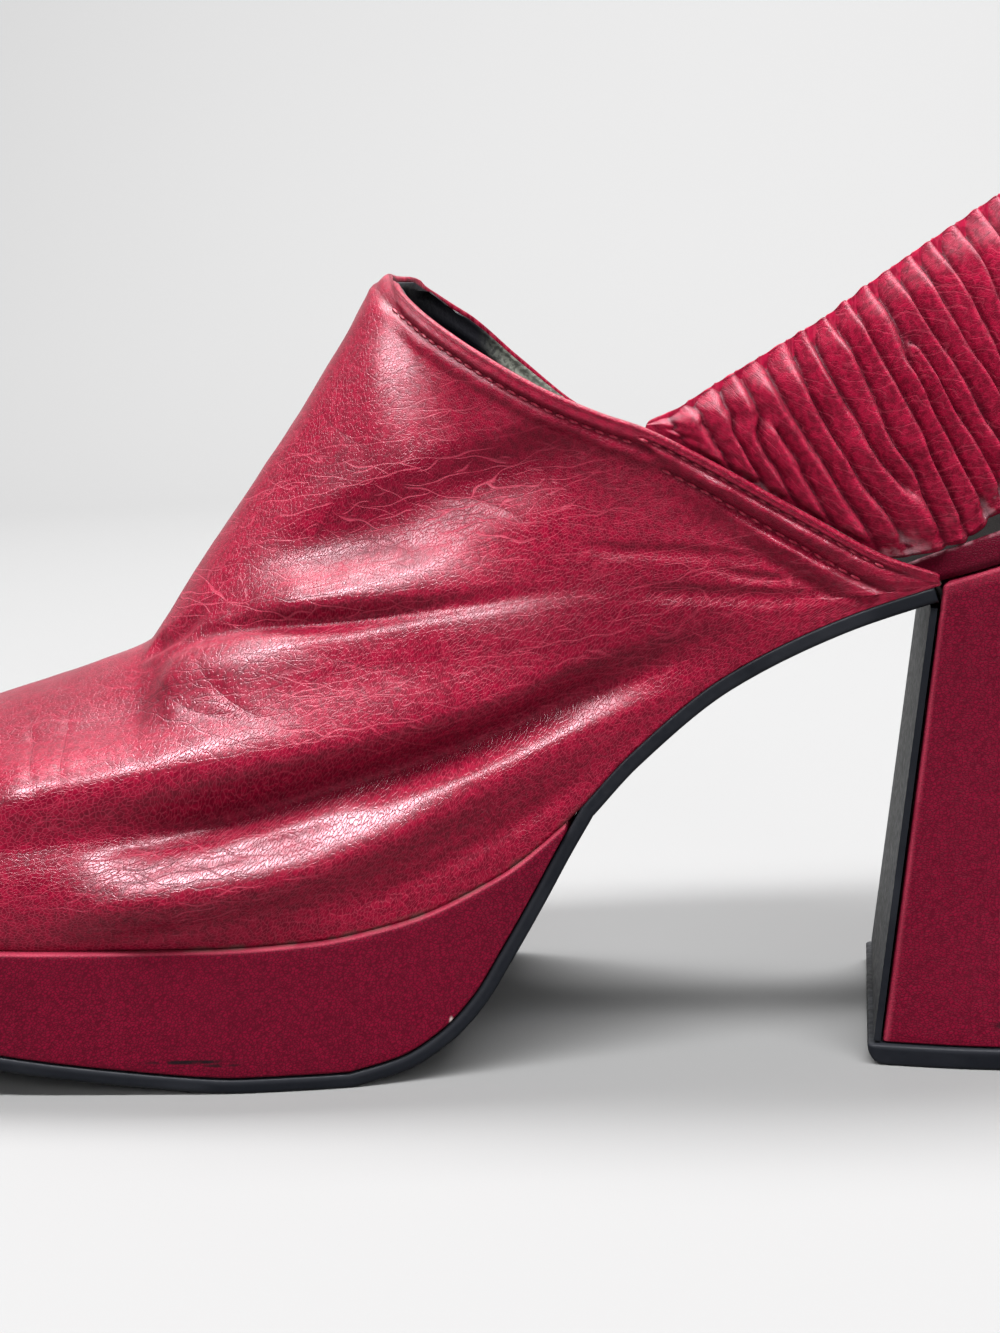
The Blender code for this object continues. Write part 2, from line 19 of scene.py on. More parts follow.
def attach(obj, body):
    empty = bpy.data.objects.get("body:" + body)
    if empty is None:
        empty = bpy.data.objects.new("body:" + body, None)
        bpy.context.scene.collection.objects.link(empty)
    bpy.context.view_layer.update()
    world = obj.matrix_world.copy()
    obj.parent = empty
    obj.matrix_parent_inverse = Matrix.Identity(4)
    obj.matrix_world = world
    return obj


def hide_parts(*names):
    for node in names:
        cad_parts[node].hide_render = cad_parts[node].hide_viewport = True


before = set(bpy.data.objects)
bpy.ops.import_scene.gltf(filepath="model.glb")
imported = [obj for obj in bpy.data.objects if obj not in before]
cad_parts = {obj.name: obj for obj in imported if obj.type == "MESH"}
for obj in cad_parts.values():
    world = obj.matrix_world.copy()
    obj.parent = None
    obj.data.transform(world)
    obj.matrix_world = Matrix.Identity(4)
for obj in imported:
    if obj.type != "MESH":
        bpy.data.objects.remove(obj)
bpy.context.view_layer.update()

LOG = logging.getLogger("slingback")
MM = 0.001
Array = np.ndarray
Colour = tuple[float, float, float]
Faces = list[tuple[int, ...]]
Socket = bpy.types.NodeSocket
Piece = bpy.types.Object
Material = bpy.types.Material


class Side(Enum):
    """The inner side of the foot, towards the camera, and the outer side behind it."""

    INNER = -1.0
    OUTER = 1.0


class Slot(Enum):
    """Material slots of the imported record."""

    VAMP = "vamp_leather"
    STRAP = "strap_leather"
    COVER = "cover_leather"
    SOLE = "sole_rubber"
    LINING = "insole_lining"


TOE_TIP_X = -117.4
SEAT_BACK_X = 117.0
BALL_X = -52.0
SEAT_X = 86.0
TOE_BOX_X = -81.0
PEAK_X = -12.4
NOTCH_X = 28.4
GAP = 0.3
ARCH_POWER = 2.4
LINING_GAP = 0.05

# Seams of the vamp, by their distance from its edge: at the throat, on the strip and beside it
THROAT_SEAM = 2.25
STRIP_SEAM = 0.9
BAND_SEAM = 4.2
LAST_SEAM = 8.2

# The last: place, height of the feather edge, sideways shift of the middle, half width
LAST_ROWS = np.array([
    (TOE_TIP_X, 26.8, -6.0, 41.2), (-100.0, 24.5, -4.6, 41.2), (TOE_BOX_X, 23.3, -2.6, 41.2),
    (BALL_X, 22.5, -0.1, 41.2), (-38.0, 22.4, 0.4, 41.2), (-23.5, 22.8, 0.9, 40.0),
    (-10.0, 24.8, 1.5, 37.3), (4.5, 30.5, 2.0, 33.6), (14.3, 37.5, 2.2, 31.0), (24.4, 47.5, 2.1, 28.8),
    (39.0, 58.7, 1.6, 27.0), (56.1, 66.7, 0.8, 26.8), (70.3, 71.3, 0.2, 28.0), (SEAT_X, 75.7, 0.0, 29.0),
    (100.0, 78.8, 0.0, 29.0), (SEAT_BACK_X, 81.2, 0.0, 29.0),
])

# Ridge over the middle of the foot: place, height, sideways shift
RIDGE_ROWS = np.array([
    (TOE_TIP_X, 46.0, -6.0), (TOE_BOX_X, 56.2, -5.0), (-63.6, 61.0, -4.5), (-54.2, 64.5, -4.2),
    (-50.4, 68.8, -4.0), (-45.8, 75.3, -3.9), (-32.2, 93.4, -3.4), (-18.9, 112.2, -2.8),
    (-14.6, 118.9, -2.6), (PEAK_X, 120.4, -2.5),
])

# Top edge behind the peak: place, height on the inner side, rise of the outer side, half width
RIM_ROWS = np.array([
    (PEAK_X, 120.4, 0.0, 0.0), (-9.6, 117.4, 1.2, 9.5), (-3.6, 112.5, 0.9, 17.5), (3.2, 108.0, -1.8, 23.5),
    (13.9, 101.7, -5.6, 28.8), (22.6, 97.7, -6.0, 31.0), (NOTCH_X, 95.5, -5.8, 31.5),
    (36.9, 90.8, -5.0, 31.0), (50.9, 82.1, -3.0, 29.3), (63.6, 74.6, -0.8, 28.0), (70.6, 72.2, 0.0, 27.8),
])

# Sections of the vamp: place on the feather edge, place on the top line, share of an arch, swell
VAMP_ROWS = np.array([
    (TOE_TIP_X, TOE_TIP_X, 1.0, 0.0), (-116.4, -116.7, 1.0, 0.3), (-113.6, -114.3, 1.0, 0.8),
    (-108.5, -110.0, 1.0, 1.4), (-100.0, -102.6, 1.0, 2.0), (-88.5, -92.5, 1.0, 2.4),
    (-75.0, -81.0, 1.0, 2.6), (-61.0, -69.5, 1.0, 2.8), (-48.0, -60.0, 1.0, 3.0), (-37.0, -53.4, 1.0, 3.0),
    (-28.0, -48.2, 1.0, 3.0), (-19.0, -41.5, 1.0, 3.0), (-10.0, -33.8, 1.0, 3.0), (-1.0, -25.5, 1.0, 3.0),
    (6.0, -17.5, 1.0, 3.0), (9.5, PEAK_X, 1.0, 3.0), (14.5, -8.6, 0.93, 3.0), (20.0, -2.4, 0.8, 2.8),
    (26.0, 5.5, 0.66, 2.4), (33.0, 16.0, 0.55, 2.0), (39.5, 27.2, 0.5, 1.6), (45.0, 35.2, 0.45, 1.2),
    (51.0, 43.7, 0.4, 0.8), (57.5, 53.0, 0.4, 0.5), (64.0, 62.3, 0.4, 0.2), (70.8, 70.6, 0.4, 0.0),
])
PEAK_ROW = 15
NOTCH_ROW = 20
TAIL_ROW = len(VAMP_ROWS) - 1

# Top of the outsole behind its flat: place, height
SOLE_ROWS = np.array([
    (-18.5, 2.2), (-11.2, 3.9), (-5.1, 7.3), (-0.1, 12.2), (4.4, 19.0), (9.4, 27.1), (13.5, 34.1),
    (17.0, 39.7),
])

# Block heel from its top down: share, back edge, half width, half width at the breast
HEEL_ROWS = np.array([
    (0.0, 116.6, 28.8, 27.2), (0.3, 114.2, 28.6, 26.9), (0.65, 113.4, 30.2, 27.8), (1.0, 115.6, 33.2, 29.4),
])

# Lines across the strap from the notch to the back: top x z y, low x z y, tuck inside the vamp
STRAP_ROWS = np.array([
    (29.2, 96.4, 28.4, 28.8, 95.2, 28.2, 2.5), (34.1, 98.6, 28.9, 39.7, 89.4, 28.1, 4.0),
    (40.6, 102.3, 29.0, 49.2, 83.6, 26.9, 3.6), (48.7, 106.7, 28.8, 63.8, 75.8, 25.6, 0.4),
    (56.4, 111.0, 28.4, 73.7, 77.7, 25.9, 0.0), (63.1, 115.6, 27.8, 79.5, 82.1, 26.0, 0.0),
    (74.1, 122.4, 26.2, 89.9, 86.7, 25.2, 0.0), (86.1, 129.3, 22.8, 101.0, 90.4, 21.8, 0.0),
    (97.5, 134.8, 17.0, 110.6, 93.1, 14.4, 0.0), (107.4, 137.8, 9.0, 116.9, 94.4, 7.0, 0.0),
    (111.9, 138.5, 0.0, 118.8, 95.0, 0.0, 0.0),
])


class Curve:
    """A smooth curve through two columns of a table, with no overshoot between its rows."""

    def __init__(self, places: Array, values: Array) -> None:
        """Keeps the rows and works out a slope at each.

        Args:
            places: where the rows stand, rising.
            values: the value at each place.
        """
        self.places = np.asarray(places, float)
        self.values = np.asarray(values, float)
        rises = np.diff(self.values) / np.diff(self.places)
        left, right = rises[:-1], rises[1:]
        level = left * right <= 0.0
        inner = np.where(level, 0.0, 2.0 * left * right / np.where(level, 1.0, left + right))
        self.slopes = np.concatenate(([rises[0]], inner, [rises[-1]]))

    def __call__(self, place: Array | float) -> Array:
        """Value at a place, held level past both ends.

        Args:
            place: one place or an array of them.

        Returns:
            The values there.
        """
        place = np.asarray(place, float)
        i = np.clip(np.searchsorted(self.places, place) - 1, 0, len(self.places) - 2)
        span = self.places[i + 1] - self.places[i]
        t = np.clip((place - self.places[i]) / span, 0.0, 1.0)
        start = self.values[i] * (1.0 + 2.0 * t) + self.slopes[i] * span * t
        end = self.values[i + 1] * (3.0 - 2.0 * t) + self.slopes[i + 1] * span * (t - 1.0)
        return start * (1.0 - t) ** 2 + end * t**2


def table_curves(table: Array) -> tuple[Curve, ...]:
    """Curves of a table's columns over its first one."""
    return tuple(Curve(table[:, 0], column) for column in table.T[1:])


def smooth(value: Array, low: float, high: float) -> Array:
    """Smooth step from 0 at low to 1 at high."""
    t = np.clip((value - low) / (high - low), 0.0, 1.0)
    return t * t * (3.0 - 2.0 * t)


def bell(value: Array, middle: float, reach: float) -> Array:
    """A round hump, 1 at its middle and 0 at its reach on both sides."""
    return 0.5 + 0.5 * np.cos(np.pi * np.clip((value - middle) / reach, -1.0, 1.0))


def unit(vectors: Array) -> Array:
    """Vectors brought to length 1."""
    return vectors / np.maximum(np.linalg.norm(vectors, axis=-1, keepdims=True), 1e-9)


def run_along(points: Array, axis: int = 0) -> Array:
    """Distance run along one axis of a row or grid of points.

    Args:
        points: the points.
        axis: the axis to follow.

    Returns:
        The distance at each point, 0 at the start.
    """
    steps = np.linalg.norm(np.diff(points, axis=axis), axis=-1)
    start = np.zeros_like(np.take(steps, [0], axis=axis))
    return np.concatenate((start, np.cumsum(steps, axis=axis)), axis=axis)


def soft_noise(points: Array, cell: float, seed: int) -> Array:
    """Smooth noise from -1 to 1 that is the same on every run.

    Args:
        points: places in space, last axis of three.
        cell: size of one cell of the noise.
        seed: which noise.

    Returns:
        One value for each point.
    """
    scaled = points / cell + seed * 17.31
    corner = np.floor(scaled).astype(np.int64)
    part = scaled - corner
    part = part * part * (3.0 - 2.0 * part)
    total = np.zeros(points.shape[:-1])
    for step in itertools.product((0, 1), repeat=3):
        key = (corner + np.array(step)) @ np.array([73856093, 19349663, 83492791])
        key = (key ^ (key >> 11)) * 668265263
        value = ((key ^ (key >> 15)) & 0xFFFF) / 32767.5 - 1.0
        weight = np.where(np.array(step) == 1, part, 1.0 - part).prod(axis=-1)
        total += value * weight
    return total


def line_distance(points: Array, line: Array) -> tuple[Array, Array, Array]:
    """Distance from points to a broken line.

    Args:
        points: places in space, n by 3.
        line: corners of the line, m by 3.

    Returns:
        The distances, the share of the line's length at the nearest place, and how far above that
        place each point stands.
    """
    best = np.full(len(points), np.inf)
    share = np.zeros(len(points))
    above = np.zeros(len(points))
    lengths = np.linalg.norm(np.diff(line, axis=0), axis=1)
    run = np.concatenate(([0.0], np.cumsum(lengths)))
    for k, (start, end) in enumerate(zip(line, line[1:])):
        step = end - start
        t = np.clip((points - start) @ step / max(step @ step, 1e-12), 0.0, 1.0)
        off = points - start - t[:, None] * step
        gap = np.einsum("ij,ij->i", off, off)
        nearer = gap < best
        best = np.where(nearer, gap, best)
        share = np.where(nearer, (run[k] + t * lengths[k]) / run[-1], share)
        above = np.where(nearer, off[:, 2], above)
    return np.sqrt(best), share, above


class Last:
    """The foot's form that the shoe is built on."""

    feather_z, centre_y, body_half = table_curves(LAST_ROWS)
    toe_rounding = 2.6
    seat_rounding = 2.4

    @staticmethod
    def rounded(t: Array, power: float) -> Array:
        """Share of the width left at t, from 1 where an end begins to 0 at its tip."""
        return np.sqrt(np.maximum(0.0, 1.0 - np.clip(t, 0.0, 1.0) ** power))

    @classmethod
    def half_width(cls, x: Array, grow: Array | float = 0.0) -> Array:
        """Half width of the outline at x, grown all round by a margin.

        Args:
            x: places along the shoe.
            grow: the margin there.

        Returns:
            The half widths.
        """
        toe = cls.rounded((BALL_X - x) / (BALL_X - TOE_TIP_X + grow), cls.toe_rounding)
        seat = cls.rounded((x - SEAT_X) / (SEAT_BACK_X - SEAT_X + grow), cls.seat_rounding)
        return (cls.body_half(x) + grow) * toe * seat


class SolePath:
    """Height of the outsole's upper face along the shoe."""

    thickness = 2.2
    flat_front_x = -36.0
    flat_back_x = -18.5
    arch_start_x = 17.0
    end_x = 69.8
    spring = 13.0
    spring_power = 1.35
    climb = Curve(SOLE_ROWS[:, 0], SOLE_ROWS[:, 1])

    @classmethod
    def top_z(cls, x: Array) -> Array:
        """Height at x: toe spring, flat, climb behind the platform, then the arch.

        Args:
            x: places along the shoe.

        Returns:
            The heights.
        """
        lift = np.maximum(0.0, (cls.flat_front_x - x) / (cls.flat_front_x - TOE_TIP_X))
        front = cls.thickness + cls.spring * lift**cls.spring_power
        arch = Last.feather_z(x) - GAP
        middle = np.minimum(cls.climb(x), arch)
        return np.where(x < cls.flat_back_x, front, np.where(x < cls.arch_start_x, middle, arch))


def grid_quads(index: Array) -> Array:
    """Quads between the rows and columns of a grid of point numbers.

    Args:
        index: point numbers, columns by rows.

    Returns:
        One row of four numbers for each quad.
    """
    corners = (index[:-1, :-1], index[1:, :-1], index[1:, 1:], index[:-1, 1:])
    return np.stack(corners, axis=-1).reshape(-1, 4)


def clean_faces(quads: Array) -> Faces:
    """Quads as tuples, with repeated corners dropped and faces of no area left out.

    Args:
        quads: point numbers, four to a row.

    Returns:
        The faces.
    """
    faces = []
    for quad in quads.tolist():
        corners = tuple(dict.fromkeys(quad))
        if len(corners) > 2:
            faces.append(corners)
    return faces


def bridge(fine: Array, coarse: Array, ratio: int) -> Faces:
    """Faces between a fine edge and one with fewer points.

    Args:
        fine: point numbers along the fine edge.
        coarse: point numbers along the other edge, one for each ratio steps of the fine one.
        ratio: fine steps to a coarse step.

    Returns:
        One face for each coarse step.
    """
    faces = []
    for k in range(len(coarse) - 1):
        run = fine[k * ratio:k * ratio + ratio + 1].tolist() + [int(coarse[k + 1]), int(coarse[k])]
        corners = tuple(dict.fromkeys(run))
        if len(corners) > 2:
            faces.append(corners)
    return faces


class PointList:
    """Points of a mesh in the making, numbered as they come in."""

    def __init__(self) -> None:
        """Starts with no points."""
        self.parts: list[Array] = []
        self.count = 0

    def add(self, grid: Array) -> Array:
        """Takes in a row or grid of points.

        Args:
            grid: the points, last axis of three.

        Returns:
            Their numbers, in the same shape.
        """
        shape = grid.shape[:-1]
        first = self.count
        self.count += math.prod(shape)
        self.parts.append(grid.reshape(-1, 3))
        return np.arange(first, self.count).reshape(shape)

    def joined(self) -> Array:
        """All the points, one after another."""
        return np.concatenate(self.parts)


def new_object(name: str, data: bpy.types.ID) -> Piece:
    """A new object for its data, in the scene."""
    made = bpy.data.objects.new(name, data)
    bpy.context.scene.collection.objects.link(made)
    return made


def make_piece(name: str, points: Array, faces: Faces, marks: dict[str, Array] | None = None) -> Piece:
    """A smooth closed mesh at the origin from points in millimetres.

    Args:
        name: the piece's name.
        points: its points, n by 3.
        faces: its faces, as point numbers.
        marks: named values at the points, for its material.

    Returns:
        The new object.
    """
    mesh = bpy.data.meshes.new(name)
    mesh.from_pydata((points * MM).tolist(), [], faces)
    for label, values in (marks or {}).items():
        values = np.asarray(values, np.float32)
        kind, part = ("FLOAT_VECTOR", "vector") if values.ndim == 2 else ("FLOAT", "value")
        mesh.attributes.new(label, kind, "POINT").data.foreach_set(part, values.reshape(-1))
    bm = bmesh.new()
    bm.from_mesh(mesh)
    bmesh.ops.remove_doubles(bm, verts=bm.verts, dist=0.002 * MM)
    bmesh.ops.dissolve_degenerate(bm, edges=bm.edges, dist=0.001 * MM)
    bmesh.ops.recalc_face_normals(bm, faces=bm.faces)
    if bm.calc_volume(signed=True) < 0.0:
        bmesh.ops.reverse_faces(bm, faces=bm.faces)
    bm.to_mesh(mesh)
    bm.free()
    mesh.shade_smooth()
    return new_object(name, mesh)


def ring_loft(name: str, rings: Array, marks: dict[str, Array] | None = None) -> Piece:
    """A closed body through rings of points, its open ends capped.

    Args:
        name: the piece's name.
        rings: the points, rings by points by 3.
        marks: named values for each point of each ring.

    Returns:
        The new object.
    """
    count, size = rings.shape[:2]
    index = np.arange(count * size).reshape(count, size)
    faces = clean_faces(grid_quads(np.column_stack((index, index[:, 0]))))
    for end in (0, -1):
        if np.ptp(rings[end], axis=0)[1] > 0.01 and np.ptp(rings[end], axis=0)[2] > 0.01:
            faces.append(tuple(index[end].tolist()))
    flat = {label: values.reshape(-1) for label, values in (marks or {}).items()}
    return make_piece(name, rings.reshape(-1, 3), faces, flat)


def publish(piece: Piece, material: Material, slot: Slot, *nodes: str) -> Piece:
    """Dresses a finished piece, sets it on the shoe's one body and reports it.

    Args:
        piece: the finished piece.
        material: its material.
        slot: the record's slot; not used.
        nodes: the CAD nodes it stands for.

    Returns:
        The piece.
    """
    piece.data.materials.clear()
    piece.data.materials.append(material)
    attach(piece, "root")
    if nodes:
        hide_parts(*nodes)
    triangles = sum(len(face.vertices) - 2 for face in piece.data.polygons)
    LOG.info("%s: %d triangles", piece.name, triangles)
    return piece


class Recipe:
    """The nodes of one material while it is put together."""

    def __init__(self, name: str) -> None:
        """Starts a material with its own shader.

        Args:
            name: the material's name.
        """
        self.material = bpy.data.materials.new(name)
        self.material.use_nodes = True
        self.tree = self.material.node_tree
        self.shader = self.tree.nodes["Principled BSDF"]
        self.place = self.add("ShaderNodeTexCoord").outputs["Object"]

    def add(self, kind: str, inputs: dict | None = None, **settings: object) -> bpy.types.Node:
        """A node with its settings made and its inputs set or linked.

        Args:
            kind: the node's type.
            inputs: values or sockets by the input's name or number.
            settings: the node's own properties.

        Returns:
            The new node.
        """
        node = self.tree.nodes.new(kind)
        for label, value in settings.items():
            setattr(node, label, value)
        for label, value in (inputs or {}).items():
            self.feed(node.inputs[label], value)
        return node

    def feed(self, socket: Socket, value: object) -> None:
        """Links a socket to another one, or sets its value.

        Args:
            socket: the input.
            value: a socket or a plain value.
        """
        if isinstance(value, Socket):
            self.tree.links.new(value, socket)
        else:
            socket.default_value = value

    def set(self, label: str, value: object) -> None:
        """Feeds one input of the shader."""
        self.feed(self.shader.inputs[label], value)

    def sum(self, operation: str, first: object, second: object) -> Socket:
        """One step of arithmetic on two values."""
        return self.add("ShaderNodeMath", {0: first, 1: second}, operation=operation).outputs[0]

    def times(self, first: object, second: object) -> Socket:
        """Two values multiplied."""
        return self.sum("MULTIPLY", first, second)

    def mapped(
        self, turn: Colour, scale: Colour, place: Socket | None = None
    ) -> Socket:
        """Coordinates turned by degrees and then stretched.

        Args:
            turn: turn about each axis.
            scale: factor along each turned axis.
            place: the coordinates, the piece's own where none are given.

        Returns:
            The new coordinates.
        """
        angles = tuple(math.radians(a) for a in turn)
        turned = self.add("ShaderNodeMapping", {"Vector": place or self.place, "Rotation": angles})
        return self.add("ShaderNodeMapping", {"Vector": turned.outputs[0], "Scale": scale}).outputs[0]

    def noise(self, scale: float, detail: float = 3.0) -> Socket:
        """Cloudy noise from 0 to 1, over the piece's own coordinates."""
        inputs = {"Vector": self.place, "Scale": scale, "Detail": detail}
        return self.add("ShaderNodeTexNoise", inputs).outputs["Fac"]

    def drift(self, place: Socket, scale: Colour, detail: float = 0.0) -> Socket:
        """Flat cloudy noise from 0 to 1.

        Args:
            place: flat coordinates.
            scale: how fine it is along each axis.
            detail: how many finer layers it has.

        Returns:
            The noise.
        """
        inputs = {"Vector": self.mapped((0.0, 0.0, 0.0), scale, place), "Scale": 1.0, "Detail": detail}
        return self.add("ShaderNodeTexNoise", inputs, noise_dimensions="2D").outputs["Fac"]

    def warped(self, place: Socket, scale: float, amount: float) -> Socket:
        """Coordinates pushed about by noise.

        Args:
            place: the coordinates.
            scale: how fine the noise is.
            amount: how far it pushes.

        Returns:
            The new coordinates.
        """
        inputs = {"Vector": place, "Scale": scale, "Detail": 0.0}
        cloud = self.add("ShaderNodeTexNoise", inputs, noise_dimensions="2D").outputs["Color"]
        middle = self.add("ShaderNodeVectorMath", {0: cloud, 1: (0.5, 0.5, 0.5)}, operation="SUBTRACT")
        push = self.add("ShaderNodeVectorMath", {0: middle.outputs[0], "Scale": amount}, operation="SCALE")
        return self.add("ShaderNodeVectorMath", {0: place, 1: push.outputs[0]}, operation="ADD").outputs[0]

    def cells(self, scale: float, place: Socket, flat: bool = False) -> Socket:
        """Distance from the border between cells, 0 on the border.

        Args:
            scale: cells to a metre.
            place: the coordinates.
            flat: only the first two coordinates count.

        Returns:
            The distance, as a share of a cell.
        """
        inputs = {"Vector": place, "Scale": scale, "Randomness": 1.0}
        sort = "2D" if flat else "3D"
        node = self.add("ShaderNodeTexVoronoi", inputs, feature="DISTANCE_TO_EDGE", voronoi_dimensions=sort)
        return node.outputs["Distance"]

    def strands(
        self, place: Socket, turn: float, spacing: float, width: float
    ) -> Socket:
        """Thin long lines side by side, waved and broken, 1 on a line.

        Args:
            place: flat coordinates in metres.
            turn: way of the lines, in degrees.
            spacing: from one line to the next, in millimetres.
            width: half width of a line, in millimetres.

        Returns:
            The share of line.
        """
        lay = self.mapped((0.0, 0.0, turn), (1.0, 1.0, 1.0), place)
        slow = self.drift(lay, (28.0, 60.0, 1.0), 1.0)
        quick = self.drift(lay, (210.0, 420.0, 1.0))
        across = self.add("ShaderNodeSeparateXYZ", {0: lay}).outputs["Y"]
        number = self.sum("DIVIDE", across, spacing * MM)
        number = self.sum("ADD", number, self.times(slow, 2.4))
        number = self.sum("ADD", number, self.times(quick, 0.8))
        off = self.times(self.sum("PINGPONG", number, 0.5), spacing)
        line = self.span(off, 0.3 * width, width, 1.0, 0.0)
        gaps = self.drift(lay, (80.0, 700.0, 1.0))
        return self.times(line, self.span(gaps, 0.42, 0.58))

    def span(self, value: object, low: float, high: float, bottom: float = 0.0, top: float = 1.0) -> Socket:
        """A value brought smoothly from one range to another.

        Args:
            value: the value.
            low: start of its range.
            high: end of its range.
            bottom: what it is at the start.
            top: what it is at the end.

        Returns:
            The new value.
        """
        inputs = {"Value": value, "From Min": low, "From Max": high, "To Min": bottom, "To Max": top}
        return self.add("ShaderNodeMapRange", inputs, interpolation_type="SMOOTHSTEP").outputs["Result"]

    def mark(self, label: str, part: str = "Fac") -> Socket:
        """A named value of the mesh, or its vector."""
        return self.add("ShaderNodeAttribute", attribute_name=label).outputs[part]

    def blend(self, share: object, first: object, second: object) -> Socket:
        """Two colours mixed by a share.

        Args:
            share: how much of the second there is.
            first: a colour or its socket.
            second: the other one.

        Returns:
            The mixed colour.
        """
        first = (*first, 1.0) if isinstance(first, tuple) else first
        second = (*second, 1.0) if isinstance(second, tuple) else second
        node = self.add("ShaderNodeMix", {0: share, 6: first, 7: second}, data_type="RGBA")
        return node.outputs[2]

    def blot(self, centre: Colour, reach: Colour) -> Socket:
        """A soft round spot, 1 in its middle and 0 at its reach, both in millimetres.

        Args:
            centre: its middle.
            reach: its half size along each axis.

        Returns:
            The share of the spot.
        """
        middle = tuple(c * MM for c in centre)
        size = tuple(r * MM for r in reach)
        off = self.add("ShaderNodeVectorMath", {0: self.place, 1: middle}, operation="SUBTRACT")
        part = self.add("ShaderNodeVectorMath", {0: off.outputs[0], 1: size}, operation="DIVIDE")
        far = self.add("ShaderNodeVectorMath", {0: part.outputs[0]}, operation="LENGTH").outputs["Value"]
        return self.span(far, 0.35, 1.0, 1.0, 0.0)

    def bump(self, height: object, depth: float, normal: object = None) -> Socket:
        """A bumped normal.

        Args:
            height: the relief, 0 to 1.
            depth: how deep it is, in millimetres.
            normal: the normal it is laid on.

        Returns:
            The new normal.
        """
        inputs = {"Height": height, "Distance": depth * MM, "Strength": 1.0}
        if normal is not None:
            inputs["Normal"] = normal
        return self.add("ShaderNodeBump", inputs).outputs["Normal"]


def toned(colour: Colour, factor: float) -> Colour:
    """A colour made lighter or darker by a factor."""
    return tuple(part * factor for part in colour)


class Lie(Enum):
    """What the grain of a leather follows: the piece's own axes, or its surface."""

    AXES = "axes"
    SKIN = "skin"


